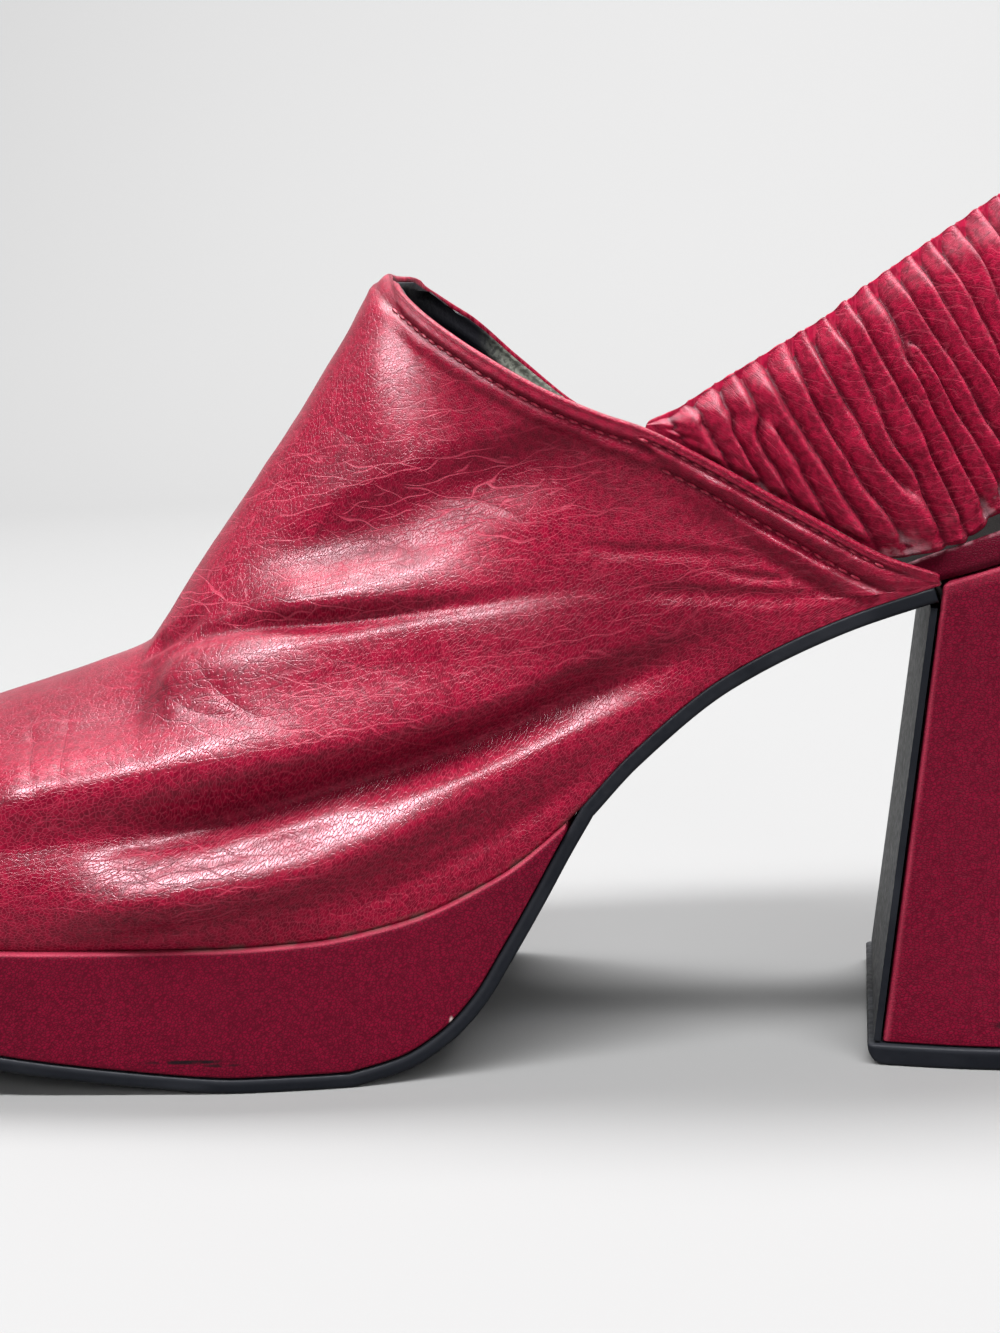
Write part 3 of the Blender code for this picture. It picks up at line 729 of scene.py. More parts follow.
@dataclass(frozen=True)
class Leather:
    """Grained leather: pebbled cells, wrinkle lines where a mark asks for them, grime, dust, painted shade
    and painted sheen.
    """

    name: str
    colour: Colour
    deep: Colour
    roughness: float
    lie: Lie = Lie.AXES
    coat: float = 0.0
    coat_roughness: float = 0.35
    shine: float = 0.26
    tint: Colour = (1.0, 0.68, 0.77)
    grain: float = 2300.0
    grain_depth: float = 0.032
    border: float = 0.85
    border_width: float = 0.28
    mottle: float = 0.15
    strand_rows: tuple = ()
    strand_width: float = 0.14
    wrinkle_depth: float = 0.06
    wrinkle_pale: float = 0.45
    crumple_depth: float = 0.04
    # colour of the painted sheen on wrinkle lines and grain borders, and of the painted highlight on edges
    pale: Colour = (0.34, 0.040, 0.070)
    grime: Colour = (0.050, 0.036, 0.030)
    dust: Colour = (0.26, 0.135, 0.155)

    def pebbles(self, recipe: Recipe) -> Socket:
        """Distance from the borders of the grain's cells.

        Args:
            recipe: the material.

        Returns:
            The distance, as a share of a cell.
        """
        if self.lie is Lie.SKIN:
            place = recipe.mapped((0.0, 0.0, 0.0), (0.62, 1.0, 1.0), recipe.mark("skin", "Vector"))
            return recipe.cells(self.grain, recipe.warped(place, 900.0, 0.0005), True)
        return recipe.cells(self.grain, recipe.mapped((0.0, 30.0, 0.0), (0.7, 0.9, 1.2)))

    def wrinkles(self, recipe: Recipe) -> Socket:
        """Long broken wrinkles, 1 on a line.

        Args:
            recipe: the material.

        Returns:
            The share of line.
        """
        lines = None
        for turn, spacing in self.strand_rows:
            strand = recipe.strands(recipe.mark("lay", "Vector"), turn, spacing, self.strand_width)
            lines = strand if lines is None else recipe.sum("MAXIMUM", lines, strand)
        return recipe.times(lines, recipe.mark("crease"))

    def net(self, recipe: Recipe) -> Socket:
        """A fine net of cracks in the wrinkled places, 1 on a crack.

        Args:
            recipe: the material.

        Returns:
            The share of crack.
        """
        lay = recipe.warped(recipe.mark("lay", "Vector"), 420.0, 0.0006)
        lay = recipe.mapped((0.0, 0.0, -9.0), (0.34, 1.0, 1.0), lay)
        crack = recipe.span(recipe.cells(820.0, lay, True), 0.01, 0.10, 1.0, 0.0)
        some = recipe.times(recipe.span(recipe.noise(90.0, 2.0), 0.42, 0.60), recipe.mark("crease"))
        off = recipe.sum("ABSOLUTE", recipe.mark("line"), 0.0)
        wave = recipe.span(recipe.noise(900.0, 2.0), 0.2, 0.8, -0.08, 0.08)
        score = recipe.span(recipe.sum("ADD", off, wave), 0.05, 0.17, 1.0, 0.0)
        score = recipe.times(score, recipe.mark("line_share"))
        return recipe.sum("MAXIMUM", score, recipe.times(crack, some))

    def material(self, spots: tuple = ()) -> Material:
        """The leather's nodes.

        Args:
            spots: stains as (colour, share, centre, reach) in millimetres.

        Returns:
            The material.
        """
        recipe = Recipe(self.name)
        inward = self.pebbles(recipe)
        mottle = recipe.span(recipe.noise(1000.0, 3.0), 0.38, 0.62)
        border = recipe.span(inward, 0.0, self.border_width, 1.0, 0.0)
        cloud = recipe.span(recipe.noise(26.0), 0.3, 0.7)
        colour = recipe.blend(cloud, self.colour, toned(self.colour, 0.86))
        colour = recipe.blend(recipe.times(mottle, self.mottle), colour, self.deep)
        # painted sheen: on skin leather the grain borders and wrinkle lines turn pale where the leather is
        # dull, and deep red where it is polished
        line_tone = self.deep
        if self.lie is Lie.SKIN:
            line_tone = recipe.blend(recipe.span(recipe.mark("polish"), 0.15, 0.7), self.pale, self.deep)
        colour = recipe.blend(recipe.times(border, self.border), colour, line_tone)
        # painted shade: fold troughs, seam grooves, shaded patches and pleat furrows darkened towards the
        # deep colour
        painted_shade = recipe.times(recipe.mark("painted_shade"), 0.75)
        colour = recipe.blend(painted_shade, colour, self.deep)
        normal = None
        rough = recipe.span(recipe.noise(90.0), 0.2, 0.8, self.roughness - 0.05, self.roughness + 0.05)
        if self.lie is Lie.SKIN:
            lines = self.wrinkles(recipe)
            net = self.net(recipe)
            colour = recipe.blend(recipe.times(net, 0.4), colour, self.deep)
            colour = recipe.blend(recipe.times(lines, self.wrinkle_pale), colour, line_tone)
            rough = recipe.sum("ADD", rough, recipe.times(recipe.sum("MAXIMUM", lines, net), 0.18))
            crumple = recipe.drift(recipe.mark("lay", "Vector"), (150.0, 390.0, 1.0), 2.0)
            normal = recipe.bump(crumple, self.crumple_depth)
            grooves = recipe.sum("MAXIMUM", lines, recipe.times(net, 0.4))
            normal = recipe.bump(recipe.sum("SUBTRACT", 1.0, grooves), self.wrinkle_depth, normal)
        patch = recipe.span(recipe.noise(420.0, 4.0), 0.38, 0.62)
        colour = recipe.blend(recipe.times(recipe.mark("grime"), patch), colour, self.grime)
        colour = recipe.blend(recipe.times(recipe.mark("dust"), patch), colour, self.dust)
        # painted highlight with some wear: rounded edges blended towards the pale colour
        colour = recipe.blend(recipe.mark("rub_and_sheen"), colour, self.pale)
        thin = recipe.span(recipe.noise(420.0, 3.0), 0.28, 0.50)
        for tint, share, centre, reach in spots:
            spot = recipe.times(recipe.blot(centre, reach), share)
            colour = recipe.blend(recipe.times(spot, thin), colour, tint)
        recipe.set("Base Color", colour)
        recipe.set("Roughness", recipe.sum("ADD", rough, recipe.times(border, 0.06)))
        recipe.set("Specular IOR Level", self.shine)
        if self.lie is Lie.SKIN:
            dull = toned(self.tint, 0.12)
            recipe.set("Specular Tint", recipe.blend(recipe.mark("polish"), dull, self.tint))
        else:
            recipe.set("Specular Tint", (*self.tint, 1.0))
        normal = recipe.bump(recipe.span(inward, 0.0, 0.16), self.grain_depth, normal)
        if self.coat > 0.0:
            recipe.set("Coat Weight", recipe.times(recipe.mark("polish"), self.coat))
            recipe.set("Coat Roughness", self.coat_roughness)
            recipe.set("Coat Normal", normal)
        recipe.set("Normal", normal)
        return recipe.material


@dataclass(frozen=True)
class Cloth:
    """Fuzzy lining cloth that turns to smooth dark lining near the throat."""

    name: str
    dark: Colour = (0.004, 0.004, 0.0065)
    cloth: Colour = (0.075, 0.078, 0.066)

    def material(self) -> Material:
        """The lining's nodes.

        Returns:
            The material.
        """
        recipe = Recipe(self.name)
        fibre = recipe.noise(1300.0, 4.0)
        cloud = recipe.span(recipe.noise(120.0), 0.35, 0.65)
        tone = recipe.blend(cloud, self.cloth, toned(self.cloth, 0.45))
        light = toned(self.cloth, 2.2)
        tone = recipe.blend(recipe.span(fibre, 0.40, 0.62, 0.0, 0.8), tone, light)
        axes = recipe.add("ShaderNodeSeparateXYZ", {0: recipe.place})
        front = recipe.span(axes.outputs["X"], -0.002, 0.004, 1.0, 0.0)
        recipe.set("Base Color", recipe.blend(front, tone, self.dark))
        recipe.set("Roughness", recipe.span(front, 0.0, 1.0, 0.9, 0.5))
        recipe.set("Normal", recipe.bump(fibre, 0.12))
        return recipe.material


@dataclass(frozen=True)
class Rubber:
    """Matt black sole stuff, a little grey where it is rubbed."""

    name: str
    colour: Colour = (0.002, 0.0026, 0.0045)
    rubbed: Colour = (0.016, 0.017, 0.021)
    roughness: float = 0.55

    def material(self) -> Material:
        """The rubber's nodes.

        Returns:
            The material.
        """
        recipe = Recipe(self.name)
        grit = recipe.noise(900.0, 5.0)
        cloud = recipe.span(recipe.noise(60.0, 4.0), 0.45, 0.75)
        wear = recipe.sum("MAXIMUM", recipe.times(cloud, 0.35), recipe.mark("wear"))
        recipe.set("Base Color", recipe.blend(wear, self.colour, self.rubbed))
        recipe.set("Roughness", recipe.span(grit, 0.3, 0.7, self.roughness - 0.1, self.roughness + 0.1))
        recipe.set("Specular IOR Level", 0.18)
        recipe.set("Normal", recipe.bump(grit, 0.06))
        return recipe.material


@dataclass(frozen=True)
class Thread:
    """Twisted sewing thread."""

    name: str
    colour: Colour = (0.21, 0.0075, 0.025)

    def material(self) -> Material:
        """The thread's nodes.

        Returns:
            The material.
        """
        recipe = Recipe(self.name)
        place = recipe.mapped((0.0, 40.0, 0.0), (1.0, 1.0, 1.0))
        twist = recipe.add("ShaderNodeTexWave", {"Vector": place, "Scale": 900.0}).outputs["Fac"]
        shade = toned(self.colour, 0.6)
        recipe.set("Base Color", recipe.blend(twist, self.colour, shade))
        recipe.set("Roughness", 0.5)
        recipe.set("Normal", recipe.bump(twist, 0.05))
        return recipe.material


@dataclass(frozen=True)
class Paper:
    """Pale matt floor of the studio."""

    name: str
    colour: Colour = (0.160, 0.160, 0.160)

    def material(self) -> Material:
        """The floor's nodes.

        Returns:
            The material.
        """
        recipe = Recipe(self.name)
        cloud = recipe.noise(3.0, 2.0)
        recipe.set("Base Color", recipe.blend(cloud, self.colour, toned(self.colour, 0.985)))
        recipe.set("Roughness", 0.9)
        recipe.set("Specular IOR Level", 0.1)
        return recipe.material


@dataclass(frozen=True)
class Fold:
    """One soft ridge or trough along a line on the side of the vamp."""

    line: tuple[tuple[float, float], ...]
    height: float
    above: float
    below: float
    fade_in: float = 0.25
    fade_out: float = 0.25


# Creases of the vamp's side, as (x, z) along each one
FOLDS = (
    # the long bulge over the ball and the trough under it
    Fold(((-80, 41), (-68, 43.5), (-56, 45.5), (-42, 48), (-29, 50.5), (-18, 52.5), (-6, 55.5),
          (6, 58.5), (18, 61.5), (30, 65), (44, 69)), 4.6, 14.0, 7.5, 0.12, 0.7),
    Fold(((-70, 36.5), (-60, 38), (-51, 39.3), (-42, 40.5), (-30, 43), (-18, 45.8), (-6, 48.6),
          (6, 52.2), (17, 56.5), (29, 60.5), (44, 66)), -3.5, 5.5, 5.0, 0.32, 0.3),
    # the low ridge over the feather edge and the dip behind it
    Fold(((-64, 29), (-53, 30), (-39, 31.5), (-24, 34), (-12, 38), (-1, 43), (11, 48), (23, 53), (36, 58)),
         3.2, 6.0, 6.5, 0.18, 0.55),
    Fold(((-24, 26.5), (-13, 29), (-1, 34), (11, 40), (20, 46)), -0.7, 2.6, 2.6),
    # the thin fold from the break of the foot, and the dip and ridge over it
    Fold(((-49, 61.5), (-44, 63), (-37, 65), (-30, 66), (-17, 66.5), (-5, 68), (6, 69), (18, 70), (32, 71.5)),
         1.5, 3.2, 8.0, 0.12, 0.55),
    Fold(((-50, 57.5), (-44, 58.5), (-37, 60.5), (-30, 61.5), (-20, 62.5), (-8, 64.5)),
         2.2, 8.0, 8.0, 0.2, 0.6),
    Fold(((-46, 66), (-36, 68.4), (-27, 69.4), (-18, 70), (-5, 71.2), (8, 72.4)), -0.7, 2.0, 2.0, 0.2, 0.5),
    Fold(((-36, 70.2), (-29, 71.2), (-19, 71.8), (-8, 72.8), (2, 73.6), (16, 75)), 2.4, 8.5, 3.0, 0.25, 0.6),
    # the valley from the notch to the break
    Fold(((25, 92.6), (19, 92.4), (13, 91.6), (7, 90), (1, 88.5), (-5, 86), (-11, 84), (-18, 82),
          (-27, 79), (-38, 74)), -2.4, 7.0, 10.0, 0.22, 0.4),
    # the pinch at the break
    Fold(((-52, 64), (-47, 66.5), (-43, 69), (-38, 72)), -1.3, 3.2, 3.2, 0.2, 0.5),
    # soft dents behind the waist
    Fold(((48, 75), (36, 77), (24, 78), (16, 79)), -0.40, 1.8, 1.8),
    Fold(((56, 72), (45, 73), (35, 76)), -0.35, 1.4, 1.4),
    Fold(((59, 71), (48, 70), (36, 71), (24, 72)), -0.55, 2.2, 2.2),
)

# Sharp wrinkles of the vamp's side, as (x, z) along each one
CREASE_LINES = (
    ((-51, 63), (-46, 60), (-41, 57), (-34, 55), (-28, 54), (-20, 52)),
    ((-41, 67), (-38, 62), (-35, 59), (-30, 56), (-25, 54), (-18, 51)),
    ((-46, 59), (-38, 56), (-31, 55), (-24, 54)),
    ((-70, 56), (-67, 52), (-64, 46), (-60, 38)),
    ((-63, 57), (-62, 54), (-60, 49), (-57, 39)),
    ((-55, 39), (-45, 38), (-37, 38.7), (-30, 38.5)),
    ((-60, 30), (-51, 32), (-42, 36)),
    ((-54, 26), (-46, 30), (-39, 34)),
    ((-24, 81), (-18, 84.5), (-13, 86.4), (-1, 87)),
    ((-11, 91), (-4, 87.6), (7, 86)),
    ((-2, 88), (7, 85), (11, 82)),
    ((-24, 65), (-11, 62), (-3, 59)),
    ((-24, 60), (-8, 63), (3, 63)),
    ((-22, 100), (-19, 97.5), (-15.5, 95.4), (-11, 94)),
)

# Where the leather is wrinkled: (x, z), half size, share
WRINKLED = (
    ((-28.0, 72.0), (26.0, 6.0), 1.0),
    ((-6.0, 86.0), (32.0, 11.0), 1.0),
    ((-4.0, 103.0), (14.0, 8.0), 0.6),
    ((-44.0, 33.0), (22.0, 7.0), 1.0),
    ((-25.0, 57.0), (30.0, 8.0), 0.8),
    ((-62.0, 46.0), (12.0, 12.0), 0.4),
    ((12.0, 62.0), (28.0, 12.0), 0.45),
    ((42.0, 74.0), (22.0, 7.0), 0.6),
)

# Where the leather is rubbed to a shine: (x, z), half size, share
RUBBED = (
    ((-44.0, 52.5), (15.0, 8.0), 1.0),
    ((-66.0, 42.0), (7.0, 7.0), 0.8),
    ((-38.0, 32.5), (20.0, 7.0), 1.0),
    ((-10.0, 40.0), (17.0, 7.0), 0.9),
    ((15.0, 51.0), (16.0, 6.0), 0.6),
    ((-34.0, 65.0), (10.5, 5.0), 1.0),
    ((-8.0, 68.5), (18.0, 2.5), 0.6),
    ((-17.0, 75.5), (15.0, 5.5), 1.0),
    ((-6.0, 108.0), (8.0, 8.0), 0.6),
)

# Patches of painted shade, the leather's colour turned a deeper red there: (x, z), half size, share
SHADED = (
    ((24.0, 68.0), (22.0, 9.0), 0.60),
    ((-2.0, 90.5), (22.0, 6.0), 0.60),
    ((-72.0, 57.0), (26.0, 7.0), 0.45),
    ((2.0, 100.0), (15.0, 7.0), 0.20),
)


def patches(points: Array, table: tuple) -> Array:
    """Share of the soft patches of a table at points, seen from the side.

    Args:
        points: the points, last axis of three.
        table: patches as (x, z), half size and share.

    Returns:
        The largest share at each point.
    """
    made = np.zeros(points.shape[:-1])
    for (x, z), (wide, tall), share in table:
        far = np.hypot((points[..., 0] - x) / wide, (points[..., 2] - z) / tall)
        made = np.maximum(made, share * smooth(-far, -1.6, -0.25))
    return made


@dataclass
class Vamp:
    """The closed vamp, folded and sewn, with its lining and stitches."""

    front_columns: int = 243
    back_columns: int = 117
    near_rows: int = 160
    far_rows: int = 88
    rim_rows: int = 24
    rim_band: float = 8.4
    leather: float = 1.2
    lining: float = 0.5
    foot_drop: float = 0.25
    column_ratio: int = 3
    row_ratio: int = 4
    roll_rows: int = 5
    ease_steps: int = 40
    crease_reach: float = 1.2
    crease_depth: float = 0.12
    grids: dict = field(default_factory=dict)
    seams: dict = field(default_factory=dict)

    ridge_line, ridge_y = table_curves(RIDGE_ROWS)
    rim_z, rim_rise, rim_half = table_curves(RIM_ROWS)
    foot_x = Curve(np.arange(TAIL_ROW + 1), VAMP_ROWS[:, 0])
    top_x = Curve(np.arange(TAIL_ROW + 1), VAMP_ROWS[:, 1])
    swell = Curve(np.arange(TAIL_ROW + 1), VAMP_ROWS[:, 3])
    open_rows = np.arange(PEAK_ROW + 1, TAIL_ROW + 1)
    row_share = rim_half(VAMP_ROWS[open_rows, 1]) / Last.half_width(VAMP_ROWS[open_rows, 0])
    pinch = Curve(
        np.arange(PEAK_ROW, TAIL_ROW + 1),
        np.concatenate(([1.0], np.sqrt(1.0 - VAMP_ROWS[open_rows, 2] ** ARCH_POWER) / row_share)),
    )

    def ridge_z(self, x: Array) -> Array:
        """Height of the ridge, rounded down to the feather edge at the toe.

        Args:
            x: places along the shoe.

        Returns:
            The heights.
        """
        t = np.maximum(0.0, (TOE_BOX_X - x) / (TOE_BOX_X - TOE_TIP_X))
        share = np.maximum(0.0, 1.0 - t**3.2) ** (1.0 / 2.2)
        return Last.feather_z(x) + (self.ridge_line(x) - Last.feather_z(x)) * share

    def ends(self, section: Array, side: Side) -> tuple[Array, Array]:
        """Foot and top of the vamp's sections.

        Args:
            section: section numbers.
            side: which side of the shoe.

        Returns:
            The points on the feather edge and those on the ridge or the top edge.
        """
        x = self.foot_x(section)
        wide = side.value * Last.half_width(x)
        foot = np.stack((x, Last.centre_y(x) + wide, Last.feather_z(x) - self.foot_drop), -1)
        x = self.top_x(section)
        on_ridge = np.stack((x, self.ridge_y(x), self.ridge_z(x)), -1)
        rise = self.rim_rise(x) if side is Side.OUTER else 0.0
        middle = self.ridge_y(PEAK_X) * np.maximum(0.0, (NOTCH_X - x) / (NOTCH_X - PEAK_X))
        on_rim = np.stack((x, middle + side.value * self.rim_half(x), self.rim_z(x) + rise), -1)
        return foot, np.where((section <= PEAK_ROW)[..., None], on_ridge, on_rim)

    def surface(self, section: Array, height: Array, side: Side) -> Array:
        """Points of the unfolded outer surface.

        Args:
            section: section numbers, n.
            height: shares of the section's height, m.
            side: which side of the shoe.

        Returns:
            The points, n by m by 3.
        """
        foot, top = self.ends(section, side)
        points = foot[:, None] + (top - foot)[:, None] * height[None, :, None]
        wide = np.maximum(1.0, Last.half_width(self.foot_x(section)))
        open_share = self.rim_half(self.top_x(section)) / wide
        roof = np.where(section <= PEAK_ROW, 1.0, 1.0 - self.pinch(section) * open_share)[:, None]
        arch = 1.0 - (1.0 - roof) ** 2
        narrowed = 1.0 - np.sqrt(np.maximum(0.0, 1.0 - height[None] ** ARCH_POWER * arch))
        points[..., 1] = foot[:, None, 1] + (top - foot)[:, None, 1] * narrowed / roof
        belly = self.swell(section)[:, None] * 6.75 * height[None] * (1.0 - height[None]) ** 2
        points[..., 1] += side.value * belly
        return points

    def sections(self) -> Array:
        """Section numbers of the mesh's columns, evenly spaced along the side.

        Returns:
            The section numbers.
        """
        parts = []
        for start, end, count in ((0, PEAK_ROW, self.front_columns), (PEAK_ROW, TAIL_ROW, self.back_columns)):
            trial = np.linspace(start, end, 1500)
            middle = self.surface(trial, np.array([0.5]), Side.INNER)[:, 0]
            run = run_along(middle)
            parts.append(np.interp(np.linspace(0.0, run[-1], count + 1), run, trial))
        return np.concatenate((parts[0], parts[1][1:]))

    def side_grid(self, section: Array, side: Side, rows: int) -> Array:
        """Base points of one side, evenly spaced up each section and closer along the top edge.

        Args:
            section: section numbers of the columns.
            side: which side.
            rows: steps up the side.

        Returns:
            The points, columns by rows by 3.
        """
        turn = np.linspace(0.0, np.pi / 2, 260)
        heights = np.unique(np.concatenate((np.sin(turn) ** (1.0 / 1.2), np.linspace(0.0, 1.0, 200))))
        dense = self.surface(section, heights, side)
        run = run_along(dense, 1)
        tall = run[:, -1]
        band = np.minimum(self.rim_band, 0.5 * tall)[:, None]
        number = np.arange(rows + 1)[None]
        plain = rows - self.rim_rows
        low = (tall[:, None] - band) * np.minimum(1.0, number / plain)
        close = low + band * np.maximum(0.0, (number - plain) / self.rim_rows)
        even = tall[:, None] * number / rows
        weight = smooth(section, PEAK_ROW - 2.5, PEAK_ROW + 0.5)[:, None]
        goal = even + (close - even) * weight
        made = np.empty((len(section), rows + 1, 3))
        for c in range(len(section)):
            for axis in range(3):
                made[c, :, axis] = np.interp(goal[c], run[c], dense[c, :, axis])
        return made

    def eased(self, grid: Array, section: Array) -> Array:
        """Takes the corner out of the surface under the peak of the throat.

        Args:
            grid: the base points of one side.
            section: section numbers of the columns.

        Returns:
            The points, moved along the shoe only under the peak.
        """
        rows = grid.shape[1]
        below_top = smooth(-np.arange(rows), -(rows - 1.0), -rows * 0.9)
        weight = 0.5 * (bell(section, PEAK_ROW + 0.3, 2.2)[:, None] * below_top[None])[..., None]
        made = grid.copy()
        for _ in range(self.ease_steps):
            middle = 0.5 * (made[:-2] + made[2:])
            made[1:-1] += (middle - made[1:-1]) * weight[1:-1]
        return made

    @staticmethod
    def normals(grid: Array, side: Side) -> Array:
        """Outward normals of a grid of points.

        Args:
            grid: the points of one side.
            side: which side.

        Returns:
            The normals.
        """
        across = np.cross(np.gradient(grid, axis=0), np.gradient(grid, axis=1))
        across[0] = across[1]
        return unit(across) * (-1.0 if side is Side.OUTER else 1.0)

    def on_side(self, line: Array, side: Side) -> Array:
        """Points of the base surface at given places seen from the side.

        Args:
            line: (x, z) places.
            side: which side.

        Returns:
            The points in space.
        """
        cloud = self.grids[side][:, :-8].reshape(-1, 3)
        found = []
        for x, z in line:
            gap = (cloud[:, 0] - x) ** 2 + (cloud[:, 2] - z) ** 2
            near = np.argpartition(gap, 5)[:5]
            weight = 1.0 / (gap[near] + 0.02)
            found.append(weight @ cloud[near] / weight.sum())
        return np.array(found)

    @staticmethod
    def smooth_line(corners: tuple, step: float = 2.0) -> Array:
        """A smooth run of (x, z) places through the corners of a line.

        Args:
            corners: the corners.
            step: from one place to the next.

        Returns:
            The places.
        """
        corners = np.array(corners, float)
        run = run_along(corners)
        place = np.linspace(0.0, run[-1], max(4, int(run[-1] / step)))
        return np.column_stack((Curve(run, corners[:, 0])(place), Curve(run, corners[:, 1])(place)))

    def press(self, points: Array, fold: Fold, side: Side, share: float) -> Array:
        """Height that one fold adds at points of the base surface.

        Args:
            points: the points, n by 3.
            fold: the fold.
            side: the side it lies on.
            share: how strong it is there.

        Returns:
            The heights.
        """
        line = self.on_side(self.smooth_line(fold.line), side)
        reach = max(fold.above, fold.below)
        inside = np.all((points > line.min(0) - reach) & (points < line.max(0) + reach), axis=1)
        made = np.zeros(len(points))
        if inside.any():
            gap, along, above = line_distance(points[inside], line)
            width = fold.below + (fold.above - fold.below) * smooth(above, -0.6, 0.6)
            ends = smooth(along, 0.0, fold.fade_in) * smooth(1.0 - along, 0.0, fold.fade_out)
            made[inside] = share * fold.height * ends * bell(gap / width, 0.0, 1.0)
        return made

    def scores(self, points: Array, side: Side) -> tuple[Array, Array]:
        """The nearest sharp crease at points of the base surface.

        Args:
            points: the points, n by 3.
            side: the side they lie on.

        Returns:
            How far above a crease each point is, and its share of the crease, 1 in the middle.
        """
        off = np.full(len(points), 9.0)
        share = np.zeros(len(points))
        reach = self.crease_reach
        for corners in CREASE_LINES:
            line = self.on_side(self.smooth_line(corners, 1.0), side)
            near = np.all((points > line.min(0) - reach) & (points < line.max(0) + reach), axis=1)
            inside = np.nonzero(near)[0]
            if len(inside):
                gap, along, above = line_distance(points[inside], line)
                nearer = gap < np.abs(off[inside])
                picked = inside[nearer]
                off[picked] = np.where(above > 0.0, gap, -gap)[nearer]
                share[picked] = (bell(gap, 0.0, reach) * bell(along, 0.5, 0.5) ** 0.5)[nearer]
        return off, share

    def relief(self, points: Array) -> Array:
        """Height of all the folds over the base surface.

        Args:
            points: points of the base surface, n by 3.

        Returns:
            The heights.
        """
        total = np.zeros(len(points))
        for side, share in ((Side.INNER, 1.0), (Side.OUTER, 0.85)):
            for fold in FOLDS:
                total += self.press(points, fold, side, share)
            total -= self.crease_depth * self.scores(points, side)[1]
        total += 0.16 * soft_noise(points, 9.0, 3) + 0.06 * soft_noise(points, 3.2, 4)
        return total

    @staticmethod
    def edge_work(gap: Array, behind: Array, later: Array, points: Array) -> Array:
        """Height of the sewn edge: bead, seams and puffed bands.

        Args:
            gap: distance from the top edge.
            behind: 1 behind the notch, 0 in front of it.
            later: 1 where the second puffed band is full.
            points: where that is.

        Returns:
            The heights.
        """
        lively = 1.0 + 0.45 * soft_noise(points, 2.4, 8)
        front = 0.34 * bell(gap, 0.95, 0.95) - 0.36 * bell(gap, THROAT_SEAM, 0.8)
        front = front + 0.36 * bell(gap, 3.6, 1.5) * lively
        back = 0.22 * bell(gap, 0.35, 0.4) - 0.36 * bell(gap, STRIP_SEAM, 0.45)
        back = back + 0.75 * smooth(gap, STRIP_SEAM, 1.7) * smooth(-gap, -4.0, -2.2) * lively
        back = back - 0.50 * bell(gap, BAND_SEAM, 0.8) - 0.38 * bell(gap, LAST_SEAM, 1.5) * later
        back = back + 0.70 * smooth(gap, 4.4, 5.2) * smooth(-gap, -8.0, -5.4) * lively * later
        return front + (back - front) * behind

    def build(self, finish: Leather, cloth: Cloth, thread: Thread) -> None:
        """Makes the vamp, its lining and its stitches.

        Args:
            finish: the vamp's leather.
            cloth: the lining's finish.
            thread: the stitches' finish.
        """
        section = self.sections()
        peak = self.front_columns
        sides = ((Side.INNER, self.near_rows), (Side.OUTER, self.far_rows))
        for side, rows in sides:
            self.grids[side] = self.eased(self.side_grid(section, side, rows), section)
        lift = {side: self.normals(self.grids[side], side) for side, _ in sides}
        shared = unit(lift[Side.INNER][:peak + 1, -1] + lift[Side.OUTER][:peak + 1, -1])
        for side, _ in sides:
            lift[side][:peak + 1, -1] = shared
        rim = self.round_peak(self.grids, peak)
        marks = {}
        shell = {}
        for side, rows in sides:
            base = self.grids[side]
            flat = base.reshape(-1, 3)
            gap = np.full(len(flat), 99.0)
            close = np.zeros(base.shape[:2], bool)
            close[peak - 30:, rows // 3:] = True
            close = close.reshape(-1)
            gap[close] = line_distance(flat[close], rim[::2])[0]
            gap = gap.reshape(base.shape[:2])
            gap[peak:, -1] = 0.0
            behind = smooth(section, NOTCH_ROW + 0.1, NOTCH_ROW + 0.4)[:, None] * np.ones_like(gap)
            later = smooth(section, NOTCH_ROW + 0.6, NOTCH_ROW + 2.4)[:, None] * np.ones_like(gap)
            rise = run_along(base, 1)
            held = smooth(rise, 0.0, 4.0) * (0.25 + 0.75 * smooth(gap, 0.5, 6.0))
            folds = self.relief(flat).reshape(gap.shape) * held
            edge = self.edge_work(gap, behind, later, base) * (gap < 12.0)
            over = 0.35 + 0.65 * smooth(section, PEAK_ROW, PEAK_ROW + 1.2)
            edge = edge * (over * smooth(TAIL_ROW - section, 0.0, 2.5))[:, None]
            high = folds + edge * smooth(rise, 0.2, 1.2)
            shell[side] = base + lift[side] * high[..., None]
            marks[side] = self.paint(base, rise, gap, behind, later, folds)
            facing = self.normals(shell[side], side)[..., 2]
            rubbed = 0.22 + 0.78 * np.maximum(patches(base, RUBBED), 0.45 * smooth(edge, 0.1, 0.5))
            glancing = smooth(facing, 0.08, 0.42) * (1.0 - 0.7 * smooth(facing, 0.62, 0.85))
            marks[side]["polish"] = rubbed * glancing
            run = run_along(base)
            tall = rise[np.minimum(np.arange(len(section)), peak), -1]
            across = side.value * (rise - tall[:, None])
            marks[side]["skin"] = np.stack((run, across, np.zeros_like(run)), -1) * MM
            marks[side]["lay"] = base[..., [0, 2, 1]] * MM
            for label, values in zip(("line", "line_share"), self.scores(flat, side)):
                marks[side][label] = values.reshape(gap.shape)
            self.seams[side] = (gap, base, high, lift[side])
        shell[Side.OUTER][:peak + 1, -1] = shell[Side.INNER][:peak + 1, -1]
        self.skin(shell, lift, marks, finish)
        self.line(shell, lift, cloth)
        self.sew(section, thread)

